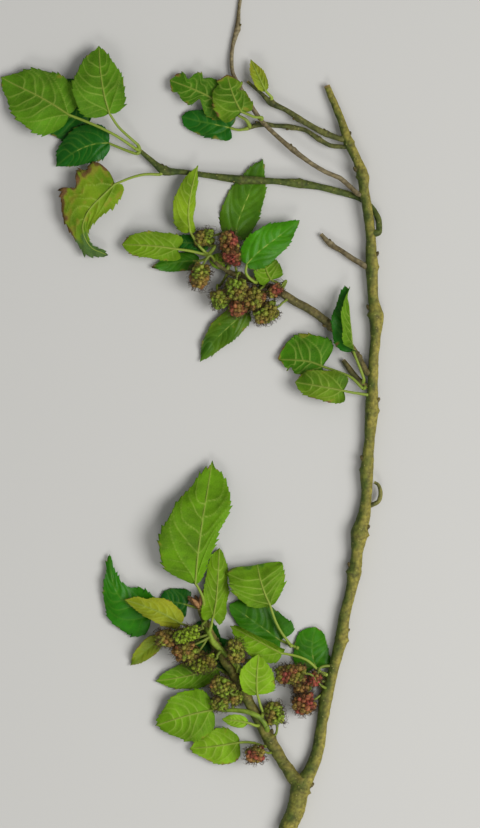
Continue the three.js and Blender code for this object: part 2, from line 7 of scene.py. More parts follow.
import bpy
import numpy as np
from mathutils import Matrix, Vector

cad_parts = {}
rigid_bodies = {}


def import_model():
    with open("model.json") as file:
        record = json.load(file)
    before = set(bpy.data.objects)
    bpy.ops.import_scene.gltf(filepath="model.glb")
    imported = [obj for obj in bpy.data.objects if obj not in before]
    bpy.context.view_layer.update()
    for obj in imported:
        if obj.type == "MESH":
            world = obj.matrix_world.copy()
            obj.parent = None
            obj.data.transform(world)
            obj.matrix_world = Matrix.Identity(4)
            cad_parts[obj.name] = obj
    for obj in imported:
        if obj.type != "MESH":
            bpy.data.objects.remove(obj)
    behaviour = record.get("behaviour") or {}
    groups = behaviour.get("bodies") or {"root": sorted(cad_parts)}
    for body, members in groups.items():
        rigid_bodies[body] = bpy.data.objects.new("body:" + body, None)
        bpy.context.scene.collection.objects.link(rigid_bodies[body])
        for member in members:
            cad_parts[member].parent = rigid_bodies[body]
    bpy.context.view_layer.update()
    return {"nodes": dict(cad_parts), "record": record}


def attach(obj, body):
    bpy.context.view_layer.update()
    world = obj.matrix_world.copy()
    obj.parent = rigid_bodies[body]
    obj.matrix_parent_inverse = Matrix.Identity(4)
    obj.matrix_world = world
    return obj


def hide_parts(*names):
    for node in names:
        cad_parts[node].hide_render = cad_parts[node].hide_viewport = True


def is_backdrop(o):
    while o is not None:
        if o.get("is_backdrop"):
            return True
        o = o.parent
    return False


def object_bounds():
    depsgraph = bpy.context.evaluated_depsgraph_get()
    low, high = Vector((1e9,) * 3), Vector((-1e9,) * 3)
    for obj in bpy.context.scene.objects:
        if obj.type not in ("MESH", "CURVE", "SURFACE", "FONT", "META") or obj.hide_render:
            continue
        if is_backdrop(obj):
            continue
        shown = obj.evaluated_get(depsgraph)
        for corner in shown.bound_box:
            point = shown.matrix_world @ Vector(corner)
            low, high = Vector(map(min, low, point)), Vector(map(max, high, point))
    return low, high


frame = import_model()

log = logging.getLogger("sprig")

MM = 0.001
ROOT = "root"
FLOOR_GAP = 0.01
DARKEST = 0.002
TURN = 2 * math.pi
GOLDEN_ANGLE = 2.39996
Rgb = tuple[float, float, float]


def linear(red: float, green: float, blue: float) -> Rgb:
    """Turns a display colour into a linear one.

    Args:
        red, green, blue: the colour from 0 to 255.

    Returns:
        The linear colour from 0 to 1.
    """
    return tuple(((c / 255 + 0.055) / 1.055) ** 2.4 for c in (red, green, blue))


def unit(vectors: np.ndarray) -> np.ndarray:
    """Scales vectors along the last axis to length one.

    Args:
        vectors: an array whose last axis holds x, y and z.

    Returns:
        The same directions with length one.
    """
    return vectors / np.maximum(np.linalg.norm(vectors, axis=-1, keepdims=True), 1e-9)


def smooth(points: np.ndarray, per_span: int) -> np.ndarray:
    """Runs a Catmull-Rom curve through the rows of an array.

    Args:
        points: control rows along the first axis.
        per_span: how many steps each span is cut into.

    Returns:
        The finer rows, first and last row included.
    """
    padded = np.concatenate([[2 * points[0] - points[1]], points, [2 * points[-1] - points[-2]]])
    p0, p1, p2, p3 = padded[:-3], padded[1:-2], padded[2:-1], padded[3:]
    rows = []
    for t in np.arange(per_span) / per_span:
        rows.append(
            0.5 * (2 * p1 + (p2 - p0) * t + (2 * p0 - 5 * p1 + 4 * p2 - p3) * t * t
                   + (3 * p1 - p0 - 3 * p2 + p3) * t ** 3)
        )
    fine = np.stack(rows, axis=1).reshape((-1,) + points.shape[1:])
    return np.concatenate([fine, points[-1:]])


def blend(tint: np.ndarray, other: np.ndarray, share: np.ndarray) -> np.ndarray:
    """Mixes a second colour into each point's own.

    Args:
        tint: a colour for each point.
        other: the second colour, or one for each point.
        share: how much of the second colour each point takes, from 0 to 1.

    Returns:
        The mixed colours.
    """
    return tint + (other - tint) * share[..., None]


@dataclass(frozen=True)
class Ripple:
    """A smooth, repeatable noise made of waves in random directions.

    Attributes:
        seed: picks the waves.
        size: the usual width of a blotch, in millimetres.
        waves: how many waves are added.
    """

    seed: int
    size: float
    waves: int = 9

    STRENGTH = 0.99

    def at(self, points: np.ndarray) -> np.ndarray:
        """Noise at some points.

        Args:
            points: positions in millimetres, x, y and z along the last axis.

        Returns:
            Values mostly between -1 and 1.
        """
        rng = np.random.default_rng(self.seed)
        direction = unit(rng.normal(size=(self.waves, 3)))
        pitch = TURN / self.size * rng.uniform(0.5, 1.5, self.waves)
        phase = rng.uniform(0, TURN, self.waves)
        waves = np.sin(points @ (direction * pitch[:, None]).T + phase)
        return waves.sum(-1) * self.STRENGTH / math.sqrt(self.waves)


@dataclass
class Draft:
    """Geometry gathered for one piece, in millimetres.

    Attributes:
        points: blocks of vertices.
        tints: a colour for each vertex, block by block.
        faces: index tuples.
        slots: the material slot of each face.
        count: how many vertices there are so far.
    """

    points: list[np.ndarray] = field(default_factory=list)
    tints: list[np.ndarray] = field(default_factory=list)
    faces: list[tuple[int, ...]] = field(default_factory=list)
    slots: list[int] = field(default_factory=list)
    count: int = 0

    def add(self, points: np.ndarray, tint: np.ndarray | Rgb, faces: np.ndarray, slot: int) -> int:
        """Adds a block of vertices and its faces.

        Args:
            points: vertices as rows.
            tint: one colour, or one for each vertex.
            faces: rows of indices into this block.
            slot: the material slot of its faces.

        Returns:
            The index of the block's first vertex.
        """
        first = self.count
        self.points.append(points)
        self.tints.append(np.broadcast_to(np.asarray(tint, float), points.shape))
        self.faces.extend(map(tuple, (faces + first).tolist()))
        self.slots.extend([slot] * len(faces))
        self.count += len(points)
        return first

    def tube(self, centres: np.ndarray, radii: np.ndarray, sides: int, tint: np.ndarray | Rgb,
             slot: int, squeeze: np.ndarray | None = None) -> None:
        """Adds a closed round tube along a line.

        Args:
            centres: the line's points.
            radii: the radius at each point.
            sides: how many sides the tube has.
            tint: one colour, or one for each vertex of each ring.
            slot: the material slot.
            squeeze: scale of the radius for each vertex of each ring.
        """
        spoke = spokes(centres, sides)
        reach = np.broadcast_to(radii[:, None], (len(centres), sides))
        if squeeze is not None:
            reach = reach * squeeze
        rings = centres[:, None] + spoke * reach[..., None]
        points = np.concatenate([rings.reshape(-1, 3), centres[:1], centres[-1:]])
        colour = np.asarray(tint, float)
        if colour.ndim == 3:
            flat = colour.reshape(-1, 3)
            colour = np.concatenate([flat, flat[:1], flat[-1:]])
        rows = len(centres)
        base = (np.arange(rows - 1)[:, None] * sides + np.arange(sides)).reshape(-1)
        side = (np.arange(rows - 1)[:, None] * sides + (np.arange(sides) + 1) % sides).reshape(-1)
        self.add(points, colour, np.stack([base, side, side + sides, base + sides], 1), slot)
        first = self.count - len(points)
        for ring, pole, step in ((0, rows * sides, -1), (rows - 1, rows * sides + 1, 1)):
            here = ring * sides + np.arange(sides)
            fan = np.stack([here, np.roll(here, -step), np.full(sides, pole)], 1) + first
            self.faces.extend(map(tuple, fan.tolist()))
            self.slots.extend([slot] * sides)

    def build(self, name: str, materials: list[bpy.types.Material]) -> bpy.types.Object:
        """Makes the Blender object.

        Args:
            name: the piece's name.
            materials: its material slots, in order.

        Returns:
            The new object, shaded smooth.
        """
        mesh = bpy.data.meshes.new(name)
        points = np.concatenate(self.points)
        points[:, 2] = np.maximum(points[:, 2], FLOOR_GAP)
        mesh.from_pydata((points * MM).tolist(), [], self.faces)
        for material in materials:
            mesh.materials.append(material)
        mesh.polygons.foreach_set("material_index", self.slots)
        mesh.polygons.foreach_set("use_smooth", [True] * len(self.faces))
        tint = mesh.color_attributes.new("tint", "FLOAT_COLOR", "POINT")
        colours = np.ones((self.count, 4), np.float32)
        colours[:, :3] = np.concatenate(self.tints)
        tint.data.foreach_set("color", colours.ravel())
        mesh.update()
        piece = bpy.data.objects.new(name, mesh)
        bpy.context.scene.collection.objects.link(piece)
        return piece


def frames_along(centres: np.ndarray) -> tuple[np.ndarray, np.ndarray]:
    """Two directions across a line, turning with it as little as possible.

    Args:
        centres: the line's points.

    Returns:
        The first and second direction across the line at each point.
    """
    tangent = unit(np.gradient(centres, axis=0))
    across = np.zeros_like(centres)
    pick = np.array([0.0, 0.0, 1.0]) if abs(tangent[0][2]) < 0.9 else np.array([1.0, 0.0, 0.0])
    last = unit(np.cross(pick, tangent[0]))
    for i, along in enumerate(tangent):
        last = unit(last - along * (last @ along))
        across[i] = last
    return across, np.cross(tangent, across)


def spokes(centres: np.ndarray, sides: int) -> np.ndarray:
    """Directions from a line out to the sides of a tube round it.

    Args:
        centres: the line's points.
        sides: how many sides the tube has.

    Returns:
        Point of the line, side and coordinate.
    """
    across, up = frames_along(centres)
    turn = np.arange(sides) * TURN / sides
    return across[:, None] * np.cos(turn)[:, None] + up[:, None] * np.sin(turn)[:, None]


def arc_length(line: np.ndarray) -> np.ndarray:
    """How far along a line each of its points is.

    Args:
        line: the line's points.

    Returns:
        The distances from its first point.
    """
    return np.concatenate([[0], np.cumsum(np.linalg.norm(np.diff(line, axis=0), axis=1))])


@dataclass
class Loft:
    """The rings of points that a CAD solid was laid through, in millimetres.

    Attributes:
        start: the point that closes the first ring.
        end: the point that closes the last ring.
        rings: ring, column and coordinate; columns line up from ring to ring.
    """

    start: np.ndarray
    end: np.ndarray
    rings: np.ndarray

    @classmethod
    def of_node(cls, node: str, thin_end_first: bool) -> "Loft":
        """Reads the rings back from a CAD node.

        Args:
            node: the node's name.
            thin_end_first: whether the first ring is at the thin end.

        Returns:
            The node's loft.
        """
        mesh = frame["nodes"][node].data
        mesh.calc_loop_triangles()
        raw = np.zeros(len(mesh.vertices) * 3, np.float32)
        mesh.vertices.foreach_get("co", raw)
        corners = np.zeros(len(mesh.loop_triangles) * 3, np.int32)
        mesh.loop_triangles.foreach_get("vertices", corners)
        places, same = np.unique(raw.reshape(-1, 3), axis=0, return_inverse=True)
        places = places.astype(float) / MM
        triangles = same.reshape(-1)[corners].reshape(-1, 3)
        near: list[set[int]] = [set() for _ in places]
        third: dict[tuple[int, int], int] = {}
        for a, b, c in triangles.tolist():
            for p, q, r in ((a, b, c), (b, c, a), (c, a, b)):
                near[p].add(q)
                near[q].add(p)
                third[p, q] = r
        poles = sorted(range(len(places)), key=lambda v: -len(near[v]))[:2]
        lofts = [cls._walk(places, near, third, *pair) for pair in (poles, poles[::-1])]
        size = [np.ptp(loft.rings[:3], axis=1).sum() for loft in lofts]
        return lofts[int((size[1] < size[0]) == thin_end_first)]

    @classmethod
    def _walk(cls, places: np.ndarray, near: list[set[int]], third: dict[tuple[int, int], int],
              start: int, end: int) -> "Loft":
        """Collects the rings from one pole to the other.

        Args:
            places: the vertices.
            near: each vertex's neighbours.
            third: the third corner of the triangle on each directed edge.
            start: the vertex that closes the first ring.
            end: the vertex that closes the last ring.

        Returns:
            The loft seen from that pole.
        """
        layer = {start: 0}
        fringe = [start]
        while fringe:
            reached = [w for v in fringe for w in near[v] if w not in layer and w != end]
            for w in reached:
                layer[w] = layer[fringe[0]] + 1
            fringe = list(dict.fromkeys(reached))
        count = max(layer.values())
        layer[end] = count + 1
        following: dict[int, int] = {}
        for (p, q), r in third.items():
            if layer[p] == layer[q] and layer[r] == layer[p] + 1:
                following[p] = q
        head = min(near[start])
        rings = []
        for k in range(count):
            ring = [head]
            while following[ring[-1]] != head:
                ring.append(following[ring[-1]])
            rings.append(places[ring])
            ahead = [w for w in near[head] if layer[w] == k + 2 and w != end]
            if ahead:
                head = ahead[0] if len(ahead) == 1 or following[ahead[0]] == ahead[1] else ahead[1]
        return cls(places[start], places[end], np.stack(rings))

    def centres(self) -> np.ndarray:
        """Middle of each ring.

        Returns:
            One point for each ring.
        """
        return self.rings.mean(1)

    def radii(self) -> np.ndarray:
        """Mean radius of each ring.

        Returns:
            One radius for each ring.
        """
        return np.linalg.norm(self.rings - self.centres()[:, None], axis=2).mean(1)


class Grain(Enum):
    """How the fine pattern of a finish runs."""

    CELLS = "cells"
    BARK = "bark"
    SKIN = "skin"


@dataclass(frozen=True)
class Finish:
    """A procedural finish whose colour starts from the mesh's own tint.

    Attributes:
        name: the material's name.
        roughness: how matt it is.
        grain: the kind of fine pattern.
        size: the size of the pattern, in millimetres.
        depth: the depth of its relief, in millimetres.
        contrast: how strongly the pattern changes the colour.
        mark: how strongly cell walls or bark spots show.
        mark_colour: the colour of those marks.
        gloss: the strength of the highlight.
    """

    name: str
    roughness: float
    grain: Grain
    size: float
    depth: float
    contrast: float
    mark: float = 0.0
    mark_colour: Rgb = linear(166, 158, 92)
    gloss: float = 0.3

    NOISE_SPAN = (0.3, 0.7)
    SPOT_SPAN = (0.19, 0.08)
    WALL_SPAN = (0.12, 0.0)
    MARK_RELIEF = 2.0

    @staticmethod
    def _ramp(tree: bpy.types.NodeTree, value: bpy.types.NodeSocket,
              *ends: float) -> bpy.types.NodeSocket:
        """Maps one range of a value onto another.

        Args:
            tree: the material's nodes.
            value: the value.
            ends: both ends of the range it comes from, then of the one it goes to.

        Returns:
            The mapped value.
        """
        ramp = tree.nodes.new("ShaderNodeMapRange")
        for socket, end in zip(("From Min", "From Max", "To Min", "To Max"), ends):
            ramp.inputs[socket].default_value = end
        tree.links.new(value, ramp.inputs["Value"])
        return ramp.outputs["Result"]

    def material(self) -> bpy.types.Material:
        """Builds the material.

        Returns:
            The new material.
        """
        made = bpy.data.materials.new(self.name)
        made.use_nodes = True
        tree = made.node_tree
        nodes, links = tree.nodes, tree.links
        shader = nodes["Principled BSDF"]
        shader.inputs["Roughness"].default_value = self.roughness
        shader.inputs["Specular IOR Level"].default_value = self.gloss
        places = nodes.new("ShaderNodeTexCoord")
        tint = nodes.new("ShaderNodeAttribute")
        tint.attribute_name = "tint"
        fine = nodes.new("ShaderNodeTexNoise")
        fine.inputs["Scale"].default_value = 1 / (self.size * 0.6 * MM)
        fine.inputs["Detail"].default_value = 4
        links.new(places.outputs["Object"], fine.inputs["Vector"])
        mottle = self._ramp(tree, fine.outputs["Fac"], *self.NOISE_SPAN,
                            1 - self.contrast, 1 + self.contrast)
        shaded = nodes.new("ShaderNodeVectorMath")
        shaded.operation = "SCALE"
        links.new(tint.outputs["Color"], shaded.inputs[0])
        links.new(mottle, shaded.inputs["Scale"])
        colour, height = shaded.outputs["Vector"], fine.outputs["Fac"]
        if self.grain is not Grain.SKIN:
            spots = self.grain is Grain.BARK
            cells = nodes.new("ShaderNodeTexVoronoi")
            cells.feature = "F1" if spots else "DISTANCE_TO_EDGE"
            cells.inputs["Scale"].default_value = 1 / (self.size * MM)
            links.new(places.outputs["Object"], cells.inputs["Vector"])
            mark = self._ramp(tree, cells.outputs["Distance"],
                              *(self.SPOT_SPAN if spots else self.WALL_SPAN), 0.0, self.mark)
            mixer = nodes.new("ShaderNodeMix")
            mixer.data_type = "RGBA"
            mixer.inputs["B"].default_value = (*self.mark_colour, 1.0)
            links.new(mark, mixer.inputs["Factor"])
            links.new(colour, mixer.inputs["A"])
            colour = mixer.outputs["Result"]
            relief = nodes.new("ShaderNodeMath")
            relief.operation = "MULTIPLY_ADD"
            relief.inputs[1].default_value = self.MARK_RELIEF * (1 if spots else -1)
            links.new(mark, relief.inputs[0])
            links.new(height, relief.inputs[2])
            height = relief.outputs[0]
        links.new(colour, shader.inputs["Base Color"])
        bump = nodes.new("ShaderNodeBump")
        bump.inputs["Strength"].default_value = 1.0
        bump.inputs["Distance"].default_value = self.depth * MM
        links.new(height, bump.inputs["Height"])
        links.new(bump.outputs["Normal"], shader.inputs["Normal"])
        return made


@dataclass(frozen=True)
class Bite:
    """A place where a blade's margin is missing.

    Attributes:
        along: where on the midrib, from 0 to 1.
        hand: 1 for the leaf's own left, -1 for its right.
        depth: the share of the half that is gone.
        width: how long the gap is, as a share of the midrib.
    """

    along: float
    hand: int
    depth: float
    width: float

    def cut(self, points: np.ndarray, along: np.ndarray, across: np.ndarray) -> None:
        """Draws the margin in towards the midrib.

        Args:
            points: the blade's grid, which is changed.
            along: how far along the midrib each row is.
            across: -1 to 1 from the left margin to the right one.
        """
        side = across * -self.hand > 0
        for row, off in zip(points, (along - self.along) / self.width):
            keep = 1 - self.depth * math.exp(-off ** 2)
            asked = np.where(side, across * keep, across)
            row[:] = np.stack([np.interp(asked, across, axis) for axis in row.T], 1)


@dataclass(frozen=True)
class LeafLook:
    """Colours and condition of one leaf.

    Attributes:
        under: colour of the underside.
        upper: colour of the upper side.
        browned: how far the margin has browned, from 0 to 1.
        yellowed: how far it has yellowed, from 0 to 1.
        bites: gaps in the margin.
        brown_hand: which half browns, or 0 for both.
        tip: colour of a withered tip, if there is one.
        tip_from: where on the midrib that tip begins, from 0 to 1.
    """

    under: Rgb = linear(103, 141, 24)
    upper: Rgb = linear(50, 112, 14)
    browned: float = 0.12
    yellowed: float = 0.0
    bites: tuple[Bite, ...] = ()
    brown_hand: int = 0
    tip: Rgb | None = None
    tip_from: float = 0.62


# A leaf passes some of the light that falls on it, which takes most blue out of its colours.
BLADE_TINT = np.array([0.86, 0.95, 0.45])
YELLOWED = np.array(linear(170, 160, 44))
UPPER_VEIN = np.array(linear(118, 156, 54))
UNDER_VEIN = np.array(linear(168, 186, 86))
BRONZED = np.array(linear(138, 122, 44))
BROWNED = np.array(linear(84, 58, 34))
PETIOLE = np.array(linear(142, 158, 58))
BUD_SCALE = np.array(linear(82, 72, 36))
END_BUD_SCALE = np.array(linear(142, 104, 66))
THREAD = np.array(linear(58, 44, 24))
BERRY_STALK = linear(112, 128, 42)


@dataclass(frozen=True)
class Vein:
    """One side vein, placed by shares of the midrib's length and of the half blade's width.

    Attributes:
        start: where it leaves the midrib.
        reach: how far towards the tip it has run where it meets the margin.
        width: its half width in millimetres.
        branches: how many finer veins leave it.
        lean: how steeply those run towards the tip, against its own reach.
        shown: how strongly those show.
    """

    start: float
    reach: float
    width: float = 0.17
    branches: int = 2
    lean: float = 0.3
    shown: float = 0.3

    STRAIGHT = 0.45
    FIRST_BRANCH = 0.25
    LAST_BRANCH = 0.8

    def along(self, share: np.ndarray | float) -> np.ndarray | float:
        """Where along the midrib's direction the vein is, at a share of the half's width."""
        return self.start + self.reach * share * (self.STRAIGHT + (1 - self.STRAIGHT) * share)


@dataclass
class Blade:
    """The fine grid of one leaf's blade, in millimetres.

    Attributes:
        points: row, column and coordinate of the middle surface.
        along: how far along the midrib each row is.
        across: -1 to 1 from the leaf's left margin to its right one.
        out: distance of each point from the midrib.
        normals: direction of the upper side.
        length: the midrib's length.
    """

    points: np.ndarray
    along: np.ndarray
    across: np.ndarray
    out: np.ndarray
    normals: np.ndarray
    length: float

    PETIOLE_RINGS = 4
    ROW_STEPS = 16
    COLUMN_STEPS = 12
    RIB_DEPTH = 0.3
    BASE_LEAD = 0.3
    BEFORE_BASE = -0.05
    MARGIN = 0.72
    TOOTH_PITCH = 1.3
    PITCH_GROWTH = 0.095
    TOOTH_HEIGHT = 0.12
    HEIGHT_GROWTH = 0.078
    TOOTH_OUT = 0.8
    TOOTH_FORWARD = 0.75
    TEETH_PER_LOBE = 2.6
    SHORT_BLADE = 18.0
    BASE_VEIN = Vein(0.0, 0.56, 0.24, 4, 0.12, 0.55)
    FIRST_VEIN = 0.1
    VEIN_SPAN = 0.68
    VEIN_REACH = 0.34
    LEAST_REACH = 0.06
    VEIN_WANDER = 0.014
    SLANT = 0.8
    FINE_SLANT = 0.9
    FINE_WIDTH = 0.16
    RIB_WIDTH = 0.32
    NO_VEIN = 9.0

    @classmethod
    def of_loft(cls, loft: Loft, bites: tuple[Bite, ...]) -> "Blade":
        """Lays a fine grid through a leaf's rings.

        Args:
            loft: the leaf's rings, petiole first.
            bites: gaps in the margin.

        Returns:
            The blade's grid.
        """
        net = cls._net(loft.rings[cls.PETIOLE_RINGS:], loft.end)
        steps = np.linalg.norm(np.diff(net[1:, 2], axis=0), axis=1)
        length = float(steps.sum())
        shares = np.concatenate([[cls.BEFORE_BASE, 0.0], np.cumsum(steps) / length])
        points = smooth(smooth(net, cls.ROW_STEPS).transpose(1, 0, 2), cls.COLUMN_STEPS)
        points = points.transpose(1, 0, 2).copy()
        rows = np.linspace(0, len(net) - 1, len(points))
        along = np.interp(rows, np.arange(len(net)), shares)
        across = np.linspace(-1, 1, points.shape[1])
        for bite in bites:
            bite.cut(points, along, across)
        normals = unit(-np.cross(np.gradient(points, axis=0), np.gradient(points, axis=1)))
        normals[:3], normals[-2:] = normals[3], normals[-3]
        step = np.linalg.norm(np.diff(points, axis=1), axis=2)
        out = np.concatenate([np.zeros((len(points), 1)), np.cumsum(step, 1)], 1)
        middle = points.shape[1] // 2
        out = np.abs(out - out[:, middle:middle + 1])
        return cls(points, along[:, None], across[None, :], out, normals, length)

    @classmethod
    def _net(cls, rings: np.ndarray, tip: np.ndarray) -> np.ndarray:
        """Finds the middle surface of a blade on each of its rings.

        Args:
            rings: the blade's rings, each with three points above and four below.
            tip: the leaf's tip.

        Returns:
            Row, column from the left margin to the right one, and coordinate.
        """
        columns = rings.shape[1]
        gaps = np.linalg.norm(np.roll(rings, 1, 1) - np.roll(rings, -1, 1), axis=2).sum(0)
        first, second = sorted(np.argsort(gaps)[:2])
        one = rings[:, first + 1:second]
        two = rings[:, [(second + 1 + k) % columns for k in range(columns - 2 - one.shape[1])]]
        two = two[:, ::-1]
        upper, lower = (one, two) if one.shape[1] == 3 else (two, one)
        up = unit(upper[:, 1] - (lower[:, 1] + lower[:, 2]) / 2)
        rib = upper[:, 1] - up * cls.RIB_DEPTH
        net = np.stack([rings[:, first], (upper[:, 0] + lower[:, 0]) / 2, rib,
                        (upper[:, 2] + lower[:, 3]) / 2, rings[:, second]], 1)
        forward = unit(np.gradient(rib, axis=0))
        left = np.cross(up, forward)
        if ((net[:, 0] - net[:, -1]) * left).sum() < 0:
            net = net[:, ::-1]
        base = np.broadcast_to(rib[0] - forward[0] * cls.BASE_LEAD, (1, 5, 3))
        return np.concatenate([base, net, np.broadcast_to(tip, (1, 5, 3))])

    def tooth(self, seed: int) -> None:
        """Pushes the margin out into forward-leaning teeth.

        Args:
            seed: varies the teeth.
        """
        rng = np.random.default_rng(seed)
        width = self.out.max()
        pitch = self.TOOTH_PITCH + self.PITCH_GROWTH * width
        height = self.TOOTH_HEIGHT + self.HEIGHT_GROWTH * width
        forward = unit(np.gradient(self.points, axis=0))
        along, across = self.along[:, 0], self.across[0]
        fade = np.clip(np.minimum(along * 7 + 0.25, (1 - along) * 9), 0, 1)
        for edge, inner, hand in ((0, 4, -1), (-1, -5, 1)):
            line = self.points[:, edge]
            arc = arc_length(line)
            arc = arc + 0.5 * np.sin(arc * 0.9 + rng.uniform(0, 6))
            phase = arc / pitch + rng.uniform()
            tooth = np.floor(phase).astype(int)
            size = rng.uniform(0.5, 1.3, tooth.max() + 1)[tooth]
            swing = arc / pitch / self.TEETH_PER_LOBE * math.pi + rng.uniform(0, 6)
            lobe = 0.5 + 0.5 * np.sin(swing)
            size = size * (0.45 + 0.9 * lobe)
            rise = ((phase - tooth) ** 1.5 * size + 0.5 * lobe) * height * fade
            push = (unit(line - self.points[:, inner]) * self.TOOTH_OUT
                    + forward[:, edge] * self.TOOTH_FORWARD)
            reach = np.clip((np.abs(across) - self.MARGIN) / (1 - self.MARGIN), 0, 1) ** 1.6
            reach = reach * (np.sign(across) == hand)
            self.points += push[:, None] * rise[:, None, None] * reach[None, :, None]

    def veins(self, seed: int) -> tuple[np.ndarray, np.ndarray]:
        """Finds the veins.

        Args:
            seed: varies their places.

        Returns:
            The strength of the veins and the distance to the nearest side vein, in millimetres.
        """
        rng = np.random.default_rng(seed)
        count = 4 if self.length < self.SHORT_BLADE else 5
        strength = np.exp(-(self.out / self.RIB_WIDTH) ** 2) * np.clip(1.3 - self.along, 0, 1)
        nearest = np.full(self.out.shape, self.NO_VEIN)
        share = np.abs(self.across)
        for hand in (-1, 1):
            side = self.across * hand >= 0
            for k in range(count):
                vein = self.BASE_VEIN
                if k:
                    start = (self.FIRST_VEIN + self.VEIN_SPAN * k / count
                             + rng.uniform(-0.025, 0.025))
                    vein = Vein(start, self.VEIN_REACH * (1 - start) + self.LEAST_REACH)
                wander = self.VEIN_WANDER * np.sin(share * 7 + rng.uniform(0, 6))
                gap = np.abs(self.along - vein.along(share) - wander) * self.length * self.SLANT
                gap = np.where(side, gap, self.NO_VEIN)
                line = np.exp(-(gap / vein.width) ** 2) * (0.95 - 0.6 * share)
                strength = np.maximum(strength, line)
                nearest = np.minimum(nearest, gap)
                for fork in np.linspace(vein.FIRST_BRANCH, vein.LAST_BRANCH, vein.branches):
                    ahead = vein.along(fork) + (share - fork) * vein.reach * vein.lean
                    off = np.abs(self.along - ahead) * self.length * self.FINE_SLANT
                    off = np.where(side & (share > fork), off, self.NO_VEIN)
                    fine = np.exp(-(off / self.FINE_WIDTH) ** 2) * (1.15 - share)
                    strength = np.maximum(strength, vein.shown * fine)
        return strength, nearest


@dataclass(frozen=True)
class Place:
    """Where a piece lies: at a CAD node, or moved from it if the CAD had no node to spare.

    Attributes:
        node: the node whose shape it takes.
        shift: how far it lies from that node, in millimetres.
        turn: how far it is turned about the vertical, in degrees.
        shrink: its size against the node's.
    """

    node: str
    shift: tuple[float, float, float] = (0.0, 0.0, 0.0)
    turn: float = 0.0
    shrink: float = 1.0

    def move(self, points: np.ndarray, about: np.ndarray) -> np.ndarray:
        """Moves points of the node to where the piece lies.

        Args:
            points: the points, in millimetres.
            about: the point that it is turned about.

        Returns:
            The moved points.
        """
        angle = math.radians(self.turn)
        spin = np.array([[math.cos(angle), -math.sin(angle), 0],
                         [math.sin(angle), math.cos(angle), 0], [0, 0, 1]]) * self.shrink
        return (points - about) @ spin.T + about + np.asarray(self.shift)


@dataclass
class Tree:
    """Middle lines of the wood built so far, in millimetres, for joining pieces to it.

    Attributes:
        lines: each stem's middle line, by node.
    """

    lines: dict[str, np.ndarray] = field(default_factory=dict)

    STEPS = 6
    REACH = 9
    STUB = 1.2
    NEARNESS = 1.3
    AHEAD = 0.5
    BEND = 0.4

    def join(self, start: np.ndarray, back: np.ndarray, parent: str = "") -> np.ndarray:
        """Leads a piece's start back into the wood it grows from.

        Args:
            start: where the piece starts.
            back: the direction from the piece's first part to its start.
            parent: the stem it grows from, or nothing for the nearest one.

        Returns:
            Points from the middle of that stem up to just before the start.
        """
        wood = self.lines[parent] if parent else np.concatenate(list(self.lines.values()))
        away = wood - start
        gap = np.linalg.norm(away, axis=1)
        score = gap * self.NEARNESS - self.AHEAD * (away @ back)
        pick = int(np.argmin(score))
        target = wood[pick] if gap[pick] < self.REACH else start + back * self.STUB
        bend = start + back * float(min(gap[pick], self.REACH)) * self.BEND
        t = (np.arange(self.STEPS) / self.STEPS)[:, None]
        return (1 - t) ** 2 * target + 2 * t * (1 - t) * bend + t * t * start


